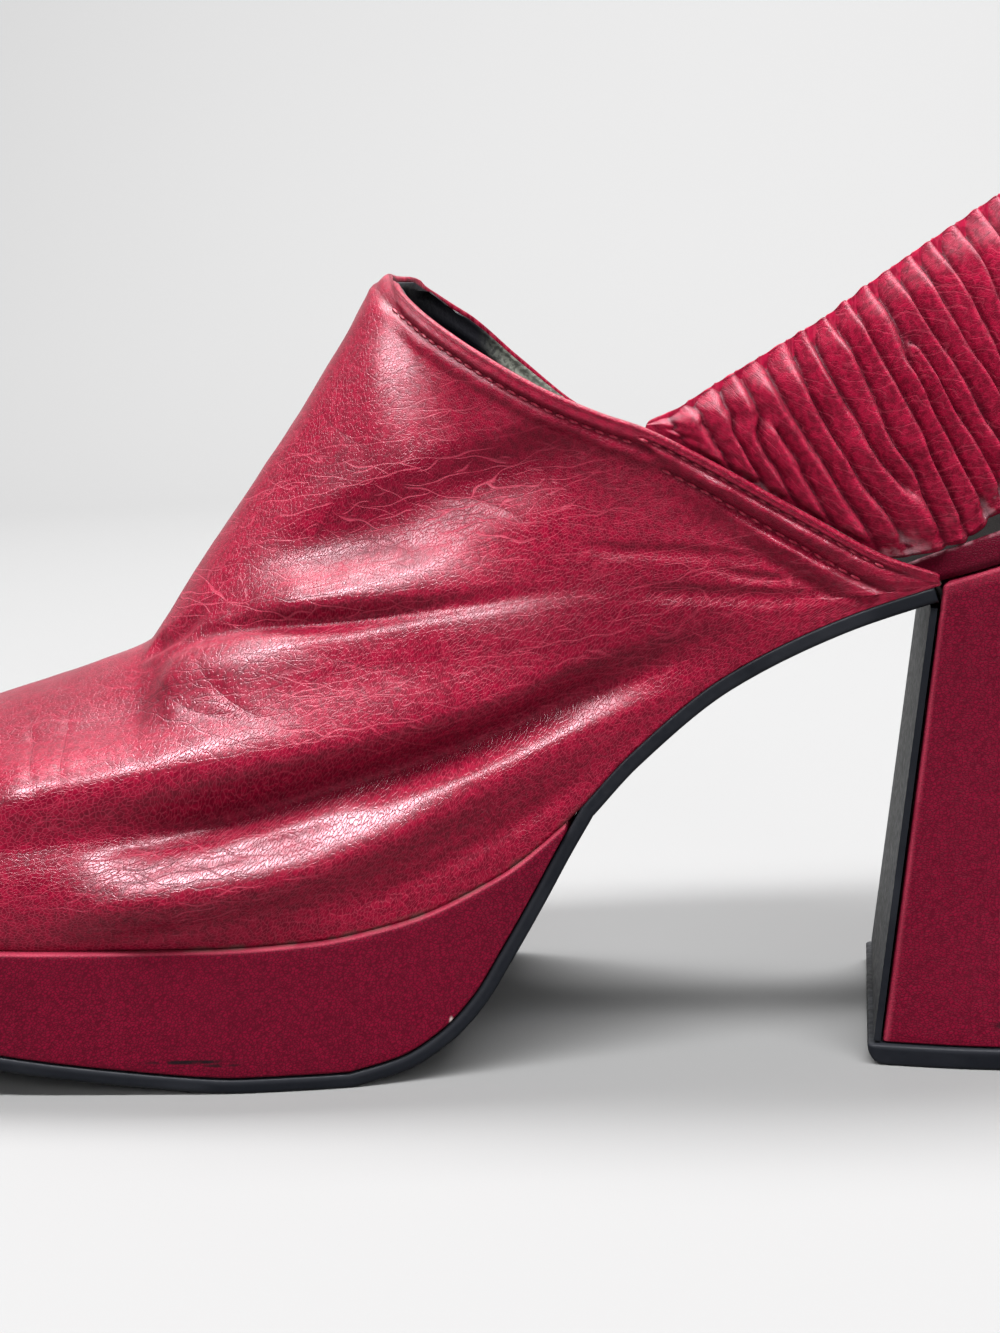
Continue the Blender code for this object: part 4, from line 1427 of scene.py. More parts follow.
    @staticmethod
    def paint(
        base: Array, rise: Array, gap: Array, behind: Array, later: Array, folds: Array
    ) -> dict[str, Array]:
        """Marks for the material.

        Args:
            base: the base points.
            rise: height above the foot, along the surface.
            gap: distance from the top edge.
            behind: 1 behind the notch.
            later: 1 where the second puffed band is full.
            folds: height of the folds.

        Returns:
            Named values at the points.
        """
        x = base[..., 0]
        crease = np.maximum(0.10, patches(base, WRINKLED))
        low = bell(rise, 0.0, 1.0) * smooth(x, -52.0, -30.0) * smooth(-x, -24.0, -6.0)
        dust = 0.5 * behind * bell(gap, 0.3, 0.8) * smooth(soft_noise(base, 5.0, 21), 0.0, 0.5)
        strip = 0.9 * bell(gap, STRIP_SEAM, 0.45) + 0.9 * bell(gap, BAND_SEAM, 0.7)
        strip = strip + 0.3 * bell(gap, LAST_SEAM, 1.2) * later
        seam = strip * behind + 0.8 * bell(gap, THROAT_SEAM, 0.7) * (1.0 - behind)
        return {
            "crease": crease,
            "grime": 0.85 * low,
            # painted shade in the fold troughs, the seam grooves and the SHADED patches
            "painted_shade": np.maximum(np.maximum(0.5 * smooth(-folds, 0.4, 2.4), seam), patches(base, SHADED)),
            "dust": dust,
        }

    @staticmethod
    def round_peak(parts: dict, peak: int) -> Array:
        """Top row of both sides, from the inner side's tail over the peak to the outer side's tail."""
        return np.concatenate((parts[Side.INNER][peak:, -1][::-1], parts[Side.OUTER][peak + 1:, -1]))

    def skin(self, shell: dict, lift: dict, marks: dict, finish: Leather) -> None:
        """The leather itself: fine outside, coarse inside, closed round every edge.

        Args:
            shell: folded outer points of both sides.
            lift: their normals.
            marks: values for the material.
            finish: the leather.
        """
        peak = self.front_columns
        peak_in = peak // self.column_ratio
        cloud = PointList()
        index = {side: cloud.add(shell[side]) for side in Side}
        index[Side.OUTER][:peak + 1, -1] = index[Side.INNER][:peak + 1, -1]
        values = {}
        for label, mark in marks[Side.INNER].items():
            parts = [marks[side][label].reshape((-1, *mark.shape[2:])) for side in Side]
            values[label] = np.concatenate(parts)
        coarse = np.s_[::self.column_ratio, ::self.row_ratio]
        inside = {side: cloud.add((shell[side] - lift[side] * self.leather)[coarse]) for side in Side}
        inside[Side.OUTER][:peak_in + 1, -1] = inside[Side.INNER][:peak_in + 1, -1]
        rim, out, top = (self.round_peak(parts, peak) for parts in (shell, lift, index))
        up = unit(np.cross(np.gradient(rim, axis=0), out))
        up *= np.sign(up[len(up) // 4, 2])
        roll = [top]
        half = self.leather / 2
        for k in range(1, self.roll_rows):
            turn = math.pi * k / self.roll_rows
            roll.append(cloud.add(rim - out * half * (1.0 - math.cos(turn)) + up * half * math.sin(turn)))
        quads = [grid_quads(index[Side.INNER]), grid_quads(index[Side.OUTER][::-1])]
        quads += [grid_quads(inside[Side.INNER][::-1]), grid_quads(inside[Side.OUTER])]
        quads.append(grid_quads(np.stack(roll)))
        faces = clean_faces(np.concatenate(quads))
        faces += bridge(roll[-1], self.round_peak(inside, peak_in), self.column_ratio)
        for side, end in ((Side.INNER, 0), (Side.OUTER, -1)):
            faces += bridge(index[side][:, 0], inside[side][:, 0], self.column_ratio)
            tip = [int(ring[end]) for ring in roll[1:]]
            faces.append(tuple(index[side][-1].tolist() + tip + inside[side][-1][::-1].tolist()))
        points = cloud.joined()
        for label, value in values.items():
            rest = np.zeros((len(points) - len(value), *value.shape[1:]))
            if label in ("skin", "lay"):
                rest = points[len(value):] * MM
            values[label] = np.concatenate((value, rest))
        piece = make_piece("vamp", points, faces, values)
        publish(piece, finish.material(), Slot.VAMP, "upper")

    def line(self, shell: dict, lift: dict, cloth: Cloth) -> None:
        """The lining inside the leather.

        Args:
            shell: folded outer points of both sides.
            lift: their normals.
            cloth: its finish.
        """
        peak_in = self.front_columns // self.column_ratio
        cloud = PointList()
        layers = []
        for depth in (self.leather + LINING_GAP, self.leather + LINING_GAP + self.lining):
            index = {}
            for side in Side:
                grid = (shell[side] - lift[side] * depth)[::self.column_ratio, ::self.row_ratio].copy()
                grid[:, -1] += 0.12 * (grid[:, -2] - grid[:, -1])
                index[side] = cloud.add(grid)
            index[Side.OUTER][:peak_in + 1, -1] = index[Side.INNER][:peak_in + 1, -1]
            layers.append(index)
        quads = []
        for side in Side:
            quads += [grid_quads(index[side]) for index in layers]
            for edge in (np.s_[:, 0], np.s_[-1], np.s_[peak_in:, -1]):
                quads.append(grid_quads(np.stack([index[side][edge] for index in layers])))
        piece = make_piece("vamp_lining", cloud.joined(), clean_faces(np.concatenate(quads)))
        publish(piece, cloth.material(), Slot.LINING)

    def seam(self, side: Side, reach: float, first: float, last: float, section: Array) -> Array:
        """Places of a seam at one distance from the top edge, on the folded surface.

        Args:
            side: which side.
            reach: distance from the edge.
            first: section where the seam starts.
            last: section where it ends.
            section: section numbers of the columns.

        Returns:
            The points of the seam.
        """
        gap, base, high, lift = self.seams[side]
        found = []
        for c in np.nonzero((section >= first) & (section <= last))[0]:
            column = gap[c, ::-1]
            passed = np.nonzero(column > reach)[0]
            if not len(passed) or passed[0] == 0:
                continue
            k = gap.shape[1] - 1 - passed[0]
            t = (gap[c, k] - reach) / max(gap[c, k] - gap[c, k + 1], 1e-6)
            spot = base[c, k] + (base[c, k + 1] - base[c, k]) * t
            found.append(spot + lift[c, k] * (high[c, k] + (high[c, k + 1] - high[c, k]) * t + 0.06))
        return np.array(found)

    def sew(self, section: Array, thread: Thread) -> None:
        """The stitches along the throat and the back edges.

        Args:
            section: section numbers of the columns.
            thread: their finish.
        """
        rows = (
            (THROAT_SEAM, PEAK_ROW + 0.35, NOTCH_ROW - 0.1),
            (STRIP_SEAM, NOTCH_ROW + 0.15, TAIL_ROW - 1.0),
            (BAND_SEAM, NOTCH_ROW + 0.3, TAIL_ROW - 1.6),
        )
        paths = [self.seam(side, *row, section) for side in Side for row in rows]
        stitch_row("vamp_stitches", paths, 2.1, 0.26, thread.material(), Slot.VAMP)


def stitch_tree(material: Material) -> bpy.types.GeometryNodeTree:
    """A tree that lays one stitch after another along a line.

    Args:
        material: the thread.

    Returns:
        The tree, with Pitch, Length and Radius as inputs in metres.
    """
    tree = bpy.data.node_groups.new("stitches", "GeometryNodeTree")
    tree.interface.new_socket("Line", in_out="INPUT", socket_type="NodeSocketGeometry")
    for label in ("Pitch", "Length", "Radius"):
        tree.interface.new_socket(label, in_out="INPUT", socket_type="NodeSocketFloat")
    tree.interface.new_socket("Stitches", in_out="OUTPUT", socket_type="NodeSocketGeometry")
    kinds = (
        "NodeGroupInput", "GeometryNodeResampleCurve", "GeometryNodeInputTangent",
        "FunctionNodeAlignRotationToVector", "GeometryNodeMeshUVSphere", "ShaderNodeCombineXYZ",
        "GeometryNodeTransform", "GeometryNodeInstanceOnPoints", "GeometryNodeRealizeInstances",
        "GeometryNodeSetMaterial", "NodeGroupOutput",
    )
    given, spaced, tangent, turned, grain, size, shaped, placed, real, dressed, result = (
        tree.nodes.new(kind) for kind in kinds
    )
    spaced.mode = "LENGTH"
    turned.axis = "X"
    for label, value in (("Segments", 8), ("Rings", 5), ("Radius", 1.0)):
        grain.inputs[label].default_value = value
    dressed.inputs["Material"].default_value = material
    for source, out, target, label in (
        (given, "Line", spaced, "Curve"), (given, "Pitch", spaced, "Length"),
        (tangent, 0, turned, "Vector"), (given, "Length", size, "X"),
        (given, "Radius", size, "Y"), (given, "Radius", size, "Z"),
        (grain, "Mesh", shaped, "Geometry"), (size, 0, shaped, "Scale"),
        (spaced, "Curve", placed, "Points"), (shaped, "Geometry", placed, "Instance"),
        (turned, "Rotation", placed, "Rotation"), (placed, "Instances", real, "Geometry"),
        (real, "Geometry", dressed, "Geometry"), (dressed, "Geometry", result, "Stitches"),
    ):
        tree.links.new(source.outputs[out], target.inputs[label])
    return tree


def stitch_row(
    name: str, paths: list[Array], pitch: float, radius: float, material: Material, slot: Slot
) -> Piece:
    """Rows of stitches along lines, as one plain mesh.

    Args:
        name: the piece's name.
        paths: the lines, in millimetres.
        pitch: from one stitch to the next.
        radius: half the thread's thickness.
        material: the thread.
        slot: the record's slot.

    Returns:
        The finished piece.
    """
    lines = bpy.data.curves.new(name + "_line", "CURVE")
    lines.dimensions = "3D"
    for path in paths:
        spline = lines.splines.new("POLY")
        spline.points.add(len(path) - 1)
        for point, place in zip(spline.points, path * MM):
            point.co = (*place, 1.0)
    guide = new_object(name + "_line", lines)
    tree = stitch_tree(material)
    sewing = guide.modifiers.new("Sewing", "NODES")
    sewing.node_group = tree
    sizes = {"Pitch": pitch * MM, "Length": pitch * 0.40 * MM, "Radius": radius * MM}
    for item in tree.interface.items_tree:
        if item.item_type == "SOCKET" and item.in_out == "INPUT" and item.name in sizes:
            sewing[item.identifier] = sizes[item.name]
    depsgraph = bpy.context.evaluated_depsgraph_get()
    mesh = bpy.data.meshes.new_from_object(guide.evaluated_get(depsgraph), depsgraph=depsgraph)
    guide.modifiers.remove(sewing)
    bpy.data.objects.remove(guide)
    mesh.name = name
    mesh.shade_smooth()
    piece = new_object(name, mesh)
    return publish(piece, material, slot)


# Places where two pleats of the strap run into one: pleat number, share of the way up, turn
FORKS = (
    (4.3, 0.62, 1), (7.6, 0.25, -1), (10.4, 0.70, 1), (13.5, 0.22, -1), (18.3, 0.3, 1), (23.5, 0.72, -1),
    (31.2, 0.7, 1), (36.4, 0.25, -1), (41.1, 0.65, 1), (47.7, 0.3, -1),
)


@dataclass
class HeelStrap:
    """The gathered strap round the heel, with its lining."""

    pleats_per_side: int = 28
    columns_per_pleat: int = 14
    hem_rows: int = 4
    face_rows: int = 46
    lining_rows: int = 8
    roll_rows: int = 4
    pleat_height: float = 2.3
    pleat_skew: float = 0.45
    pleat_lean: float = 0.45
    top_curl: float = 2.0
    belly: float = 1.5
    leather: float = 0.8
    lining: float = 0.5
    edge_clearance: float = 0.8
    edge_puff: float = 0.5
    column_ratio: int = 7
    table: tuple = tuple(Curve(np.arange(len(STRAP_ROWS)), STRAP_ROWS[:, k]) for k in range(7))

    def lines(self) -> tuple[Array, Array, Array, Array]:
        """Lines across the strap from the inner notch round the back to the outer notch.

        Returns:
            Their top ends, low ends, tucks and row numbers.
        """
        run = run_along(STRAP_ROWS[:, :3])
        steps = self.pleats_per_side * self.columns_per_pleat
        along = Curve(run, np.arange(len(run)))(run[-1] * np.arange(steps + 1) / steps)
        value = [curve(along) for curve in self.table]
        halves = []
        for side in Side:
            top = np.stack((value[0], side.value * value[2], value[1]), -1)
            low = np.stack((value[3], side.value * value[5], value[4]), -1)
            if side is Side.OUTER:
                top[:, 2] += Vamp.rim_rise(NOTCH_X) * np.maximum(0.0, 1.0 - along / 8.0)
                low[:, 2] += Vamp.rim_rise(low[:, 0])
            halves.append((top, low, value[6], along))
        return tuple(np.concatenate((near, far[-2::-1])) for near, far in zip(*halves))

    def phase(self, share: Array) -> Array:
        """Pleat number over the strap's face, with pleats that run together.

        Args:
            share: share of the way up at each point, columns by rows.

        Returns:
            The pleat numbers.
        """
        columns, rows = share.shape
        count = np.arange(columns)[:, None] / self.columns_per_pleat * np.ones((1, rows))
        spot = np.stack((count * 0.35, share * 1.6, np.zeros_like(share)), -1)
        made = count + 0.22 * soft_noise(spot, 0.5, 5) + 0.10 * soft_noise(spot, 0.22, 6)
        for number, place, turn in FORKS:
            made = made + turn * np.arctan2((share - place) * 5.0, count - number) / (2.0 * np.pi)
        return made

    def build(self, finish: Leather, cloth: Cloth) -> None:
        """Makes the strap and its lining.

        Args:
            finish: the strap's leather.
            cloth: the lining's finish.
        """
        top, low, tuck, along = self.lines()
        across = unit(top - low)
        length = np.linalg.norm(top - low, axis=1) + tuck
        start = low - across * tuck[:, None]
        forward = unit(np.gradient(low, axis=0))
        out = -np.cross(across, forward)
        out[:, 2] = 0.0
        out = unit(out)
        hem = tuck + self.edge_clearance
        hem_puff = self.edge_puff * np.maximum(0.0, 1.0 - tuck / 0.4)
        low_part = hem[:, None] * np.arange(self.hem_rows)[None] / self.hem_rows
        face = np.arange(self.face_rows + 1)[None] / self.face_rows
        high_part = hem[:, None] + (length - hem)[:, None] * face
        distance = np.concatenate((low_part, high_part), axis=1)
        share = np.clip((distance - hem[:, None]) / (length - hem)[:, None], 0.0, 1.0)
        ramp = smooth(share * (length - hem)[:, None], 0.0, 2.4)
        puff = hem_puff[:, None] + (1.0 - hem_puff[:, None]) * ramp
        puff = puff * (1.0 - (1.0 - self.edge_puff) * smooth(share, 0.86, 1.0))
        puff = puff * smooth(along, 0.0, 1.7)[:, None]
        bulge = self.belly * np.sin(np.pi * distance / length[:, None])
        belly = bulge * np.minimum(1.0, along / 5.0)[:, None]
        base = start[:, None] + across[:, None] * distance[..., None] + out[:, None] * belly[..., None]
        phase = self.phase(share)
        middle = self.pleats_per_side
        lean = -np.tanh((np.arange(len(top)) / self.columns_per_pleat - middle) / 1.5)
        leaned = phase - self.pleat_skew * lean[:, None] * (1.0 - np.cos(2.0 * np.pi * phase)) / (2.0 * np.pi)
        crest = np.abs(np.sin(np.pi * leaned)) ** 0.92
        crest = crest * (1.0 + 0.22 * soft_noise(base, 4.5, 9)) + 0.05 * soft_noise(base, 1.3, 10)
        height = self.pleat_height * puff * crest
        ruffle = 0.35 * (crest - 0.6) * smooth(share, 0.9, 1.0)
        ruffle = ruffle + 0.12 * soft_noise(base, 1.6, 12) * smooth(share, 0.94, 1.0)
        outer = base + out[:, None] * height[..., None] + across[:, None] * ruffle[..., None]
        outer += forward[:, None] * (self.pleat_lean * lean[:, None] * height * ramp)[..., None]
        outer -= out[:, None] * (self.top_curl * smooth(share, 0.72, 1.1) ** 1.5)[..., None]
        self.skin(outer, base, out, across, crest, share, finish)
        self.line(start, across, length, belly, out, cloth)

    def skin(
        self, outer: Array, base: Array, out: Array, across: Array, crest: Array, share: Array,
        finish: Leather,
    ) -> None:
        """The pleated leather, closed over its edges to a coarse back.

        Args:
            outer: points of the pleated face.
            base: the face without its pleats.
            out: outward directions of the columns.
            across: upward directions of the columns.
            crest: height of the pleats.
            share: share of the way up.
            finish: the leather.
        """
        rows = outer.shape[1]
        back = base - out[:, None] * self.leather
        cloud = PointList()
        index = cloud.add(outer)
        rolls = []
        for edge, lift in ((-1, 0.9), (0, -0.9)):
            middle = (outer[:, edge] + back[:, edge]) / 2
            half = (outer[:, edge] - back[:, edge]) / 2
            thick = np.linalg.norm(half, axis=1, keepdims=True)
            made = [index[:, edge]]
            for k in range(1, self.roll_rows):
                turn = math.pi * k / self.roll_rows
                ring = middle + half * math.cos(turn) + across * thick * lift * math.sin(turn)
                made.append(cloud.add(ring))
            rolls.append(made)
        picked = np.linspace(0, rows - 1, self.lining_rows + 1).round().astype(int)
        behind = cloud.add(back[::self.column_ratio][:, picked])
        quads = [grid_quads(index), grid_quads(behind[::-1])]
        quads += [grid_quads(np.stack(rolls[0])), grid_quads(np.stack(rolls[1])[::-1])]
        faces = clean_faces(np.concatenate(quads))
        faces += bridge(rolls[0][-1], behind[:, -1], self.column_ratio)
        faces += bridge(rolls[1][-1], behind[:, 0], self.column_ratio)
        for end in (0, -1):
            loop = index[end].tolist() + [int(r[end]) for r in rolls[0][1:]]
            loop += behind[end][::-1].tolist() + [int(r[end]) for r in rolls[1][:0:-1]]
            faces.append(tuple(loop))
        points = cloud.joined()
        facing = unit(np.cross(np.gradient(outer, axis=0), np.gradient(outer, axis=1)))
        facing *= np.sign(np.einsum("ijk,ik->ij", facing, out))[..., None]
        marks = {
            # painted shade in the furrows between the pleats
            "painted_shade": np.clip(1.3 - 1.3 * crest / 0.45, 0.0, 1.2),
            "dust": bell(share, 0.0, 0.10) * smooth(soft_noise(base, 3.5, 31), -0.1, 0.4) * 0.7,
            "polish": smooth(facing[..., 2], 0.0, 0.4),
            "crease": np.full_like(crest, 0.55),
        }
        rest = np.zeros(len(points) - crest.size)
        flat = {label: np.concatenate((values.reshape(-1), rest)) for label, values in marks.items()}
        skin = np.stack((run_along(outer), run_along(base, 1), np.zeros_like(crest)), -1).reshape(-1, 3)
        flat["skin"] = np.concatenate((skin, points[crest.size:])) * MM
        flat["lay"] = flat["skin"]
        piece = make_piece("heel_strap_leather", points, faces, flat)
        publish(piece, finish.material(), Slot.STRAP, "heel_strap")

    def line(
        self, start: Array, across: Array, length: Array, belly: Array, out: Array, cloth: Cloth
    ) -> None:
        """The strap's lining.

        Args:
            start: low ends of the lines across.
            across: their directions.
            length: their lengths.
            belly: how far the face bulges.
            out: outward directions.
            cloth: its finish.
        """
        pick = slice(None, None, self.column_ratio)
        rings = []
        shares = np.linspace(0.03, 0.97, self.lining_rows + 1)
        front = np.minimum(1.0, belly.max(axis=1) / self.belly)
        for depth in (self.leather + LINING_GAP, self.leather + LINING_GAP + self.lining):
            sheet = []
            for share in shares:
                bulge = self.belly * math.sin(math.pi * share) * front
                sheet.append(start + across * (length * share)[:, None] + out * (bulge - depth)[:, None])
            rings.append(np.stack(sheet, axis=1)[pick])
        ring = np.concatenate((rings[0], rings[1][:, ::-1]), axis=1)
        piece = ring_loft("heel_strap_lining", ring)
        publish(piece, cloth.material(), Slot.LINING)


@dataclass
class Slab:
    """A plate with rounded edges that follows the last's outline."""

    x: Array
    centre: Array
    half: Array
    top: Array
    low: Array
    top_round: float = 0.6
    low_round: float = 0.5
    wall_rows: int = 12
    chord_rows: int = 6
    corner_rows: int = 4

    def rings(self) -> tuple[Array, Array]:
        """Rings of points across the plate.

        Returns:
            The points, and for each the share of the way up its wall, 1 on the top face.
        """
        count = len(self.x)
        thick = np.maximum(np.linalg.norm(self.top - self.low, axis=1), 1e-6)
        edges = []
        for sign in (-1.0, 1.0):
            edge = np.stack((self.x, self.centre + sign * self.half), -1)
            way = unit(np.gradient(edge, axis=0))
            normal = np.stack((way[:, 1], -way[:, 0]), -1) * -sign
            normal[self.half < 1e-6] = (-1.0 if self.x[0] < self.x[-1] else 1.0, 0.0)
            edges.append((edge, normal))
        profile = []
        turns = np.linspace(0.0, np.pi / 2, self.corner_rows + 1)
        low_round = np.minimum(self.low_round, 0.45 * thick)
        top_round = np.minimum(self.top_round, 0.45 * thick)
        for turn in turns:
            profile.append((low_round * (1.0 - np.sin(turn)), low_round * (1.0 - np.cos(turn)) / thick))
        for k in range(1, self.wall_rows):
            t = k / self.wall_rows
            profile.append((np.zeros(count), (low_round + (thick - low_round - top_round) * t) / thick))
        for turn in turns[::-1]:
            profile.append((top_round * (1.0 - np.sin(turn)), 1.0 - top_round * (1.0 - np.cos(turn)) / thick))
        walls = []
        for edge, normal in edges:
            rows = []
            for inset, up in profile:
                inset = np.minimum(inset, np.maximum(self.half, 0.02) * 0.98)
                spot = edge - normal * inset[:, None]
                middle = self.low + (self.top - self.low) * up[:, None]
                rows.append(np.stack((spot[:, 0] + middle[:, 0] - self.x, spot[:, 1], middle[:, 1]), -1))
            walls.append(np.stack(rows, 1))
        inner, outer = walls
        chords = np.arange(1, self.chord_rows)[None, :, None] / self.chord_rows
        over = inner[:, -1:] + (outer[:, -1:] - inner[:, -1:]) * chords
        under = outer[:, :1] + (inner[:, :1] - outer[:, :1]) * chords
        ring = np.concatenate((inner, over, outer[:, ::-1], under), axis=1)
        ups = np.stack([up for _, up in profile], 1)
        flat = np.ones((count, self.chord_rows - 1))
        return ring, np.concatenate((ups, flat * 1.2, ups[:, ::-1], flat * -0.2), axis=1)


def gathered(start: float, end: float, count: int, power: float = 2.0) -> Array:
    """Places from start to end, closer together at the start."""
    return start + (end - start) * np.linspace(0.0, 1.0, count + 1) ** power


@dataclass
class Sole:
    """Platform, outsole and footbed."""

    ledge: float = 1.4
    platform_end_x: float = 14.6
    insole_inset: float = 2.9
    seat_inset: float = 0.8
    fore_thickness: float = 2.8
    seat_thickness: float = 4.8
    rand: float = 0.8

    def build_platform(self, finish: Leather) -> None:
        """The covered platform, its edge painted pale as highlight and wear, and a dirty ledge under the
        vamp.

        Args:
            finish: its leather.
        """
        x = np.concatenate((
            gathered(TOE_TIP_X - self.ledge, BALL_X, 90), np.linspace(BALL_X, -18.5, 60)[1:],
            np.linspace(-18.5, self.platform_end_x - 0.02, 80)[1:],
        ))
        low = SolePath.top_z(x) + GAP
        high = np.maximum(Last.feather_z(x) - GAP, low + 0.05)
        slab = Slab(
            x, Last.centre_y(x), Last.half_width(x, self.ledge), np.stack((x, high), -1),
            np.stack((x, low), -1), top_round=0.9, low_round=0.4, wall_rows=18,
        )
        rings, up = slab.rings()
        thick = (high - low)[:, None]
        from_top = (1.0 - up) * thick
        along = x[:, None] * np.ones_like(up)
        # painted highlight along the rounded top edge, with some wear
        edge = np.where(up <= 1.0, bell(from_top, 0.2, 0.38), 0.0)
        ledge = np.where(up > 0.999, 1.0, bell(from_top, 0.0, 0.3))
        dirty = smooth(along, -55.0, -36.0) * smooth(-along, -18.0, -10.0)
        ragged = 0.7 + 0.3 * smooth(soft_noise(rings, 6.0, 41), -0.4, 0.5)
        marks = {"rub_and_sheen": 0.6 * edge * ragged, "grime": 0.9 * ledge * dirty}
        piece = ring_loft("platform_cover", rings, marks)
        spots = (
            ((0.005, 0.003, 0.004), 1.0, (-42.5, -41.5, 5.2), (9.5, 6.0, 0.45)),
            ((0.006, 0.003, 0.004), 0.9, (-37.5, -41.5, 4.6), (4.0, 6.0, 0.40)),
            ((0.45, 0.36, 0.35), 1.0, (-3.4, -37.0, 8.6), (0.5, 6.0, 1.5)),
        )
        publish(piece, finish.material(spots), Slot.COVER, "platform")

    def build_outsole(self, finish: Rubber) -> None:
        """The thin outsole under the platform, up its back and along the arch.

        Args:
            finish: its rubber.
        """
        grow = Curve([TOE_TIP_X, -18.5, 18.6, SolePath.end_x], [self.ledge, 1.2, 0.5, 0.2])
        x = np.concatenate((
            gathered(TOE_TIP_X - self.ledge, BALL_X, 70), np.linspace(BALL_X, -18.5, 30)[1:],
            np.linspace(-18.5, 17.0, 70)[1:], np.linspace(17.0, SolePath.end_x, 70)[1:],
        ))
        top = np.stack((x, SolePath.top_z(x)), -1)
        way = unit(np.gradient(top, axis=0))
        low = top - np.stack((-way[:, 1], way[:, 0]), -1) * SolePath.thickness
        half = Last.half_width(x, grow(x))
        slab = Slab(x, Last.centre_y(x), half, top, low, top_round=0.35, low_round=0.6, wall_rows=5)
        rings, up = slab.rings()
        marks = {"wear": 0.7 * bell(up, 0.9, 0.35) * smooth(-x, -20.0, -8.0)[:, None]}
        publish(ring_loft("outsole_edge", rings, marks), finish.material(), Slot.SOLE, "outsole")

    def build_footbed(self, sock: Leather, wrap: Leather) -> None:
        """The footbed with its dark sock, and the wrapped edge round the heel seat.

        Args:
            sock: leather of the sock.
            wrap: leather of the wrapped edge.
        """
        stations = np.concatenate((
            gathered(TOE_TIP_X + self.insole_inset, BALL_X, 50), np.linspace(BALL_X, SEAT_X, 110)[1:],
            gathered(SEAT_BACK_X, SEAT_X, 40)[-2::-1],
        ))
        inset = Curve([TOE_TIP_X, 69.0, 77.0, SEAT_BACK_X], [self.insole_inset] * 2 + [self.seat_inset] * 2)
        depths = [self.fore_thickness] * 2 + [self.seat_thickness] * 2
        thick = Curve([TOE_TIP_X, 40.0, 90.0, SEAT_BACK_X], depths)
        wrapped = smooth(stations, 56.0, 62.0) * (self.rand + 0.05)
        x = np.minimum(stations, SEAT_BACK_X - self.seat_inset - self.rand)
        low = Last.feather_z(x) + 0.1
        half = np.maximum(0.0, Last.half_width(x, -(inset(x) + wrapped)))
        slab = Slab(
            x, Last.centre_y(x), half, np.stack((x, low + thick(x)), -1), np.stack((x, low), -1),
            top_round=1.0, low_round=0.3, wall_rows=5,
        )
        rings, _ = slab.rings()
        publish(ring_loft("footbed", rings), sock.material(), Slot.LINING, "insole")
        self.build_rand(inset, thick, wrap)

    def build_rand(self, inset: Curve, thick: Curve, wrap: Leather) -> None:
        """The wrapped edge of the footbed from the waist round the back of the seat.

        Args:
            inset: how far the footbed stands in from the last.
            thick: its thickness.
            wrap: its leather.
        """
        back = SEAT_BACK_X - self.seat_inset
        half_path = np.concatenate((np.linspace(60.0, SEAT_X, 40), gathered(back, SEAT_X, 40, 2.2)[-2::-1]))
        wide = np.where(half_path >= back - 1e-6, 0.0, Last.half_width(half_path, -inset(half_path)))
        inner = np.stack((half_path, Last.centre_y(half_path) - wide), -1)
        outer = np.stack((half_path, Last.centre_y(half_path) + wide), -1)
        path = np.concatenate((inner, outer[-2::-1]))
        way = unit(np.gradient(path, axis=0))
        out = np.stack((way[:, 1], -way[:, 0]), -1)
        low = Last.feather_z(path[:, 0]) + 0.1
        tall = thick(path[:, 0]) + 0.15
        profile = (
            (0.0, 0.0), (0.0, 0.3), (0.0, 0.6), (0.0, 0.86), (0.12, 0.95), (0.4, 1.0), (0.75, 1.0),
            (0.8, 0.6), (0.8, 0.0),
        )
        rings = []
        for depth, up in profile:
            spot = path - out * depth
            rings.append(np.stack((spot[:, 0], spot[:, 1], low + tall * up), -1))
        rings = np.stack(rings, 1)
        up = np.array([share for _, share in profile])[None] * np.ones((len(path), 1))
        marks = {"dust": 0.4 * bell(up, 0.97, 0.12)}
        publish(ring_loft("footbed_rand", rings, marks), wrap.material(), Slot.COVER)


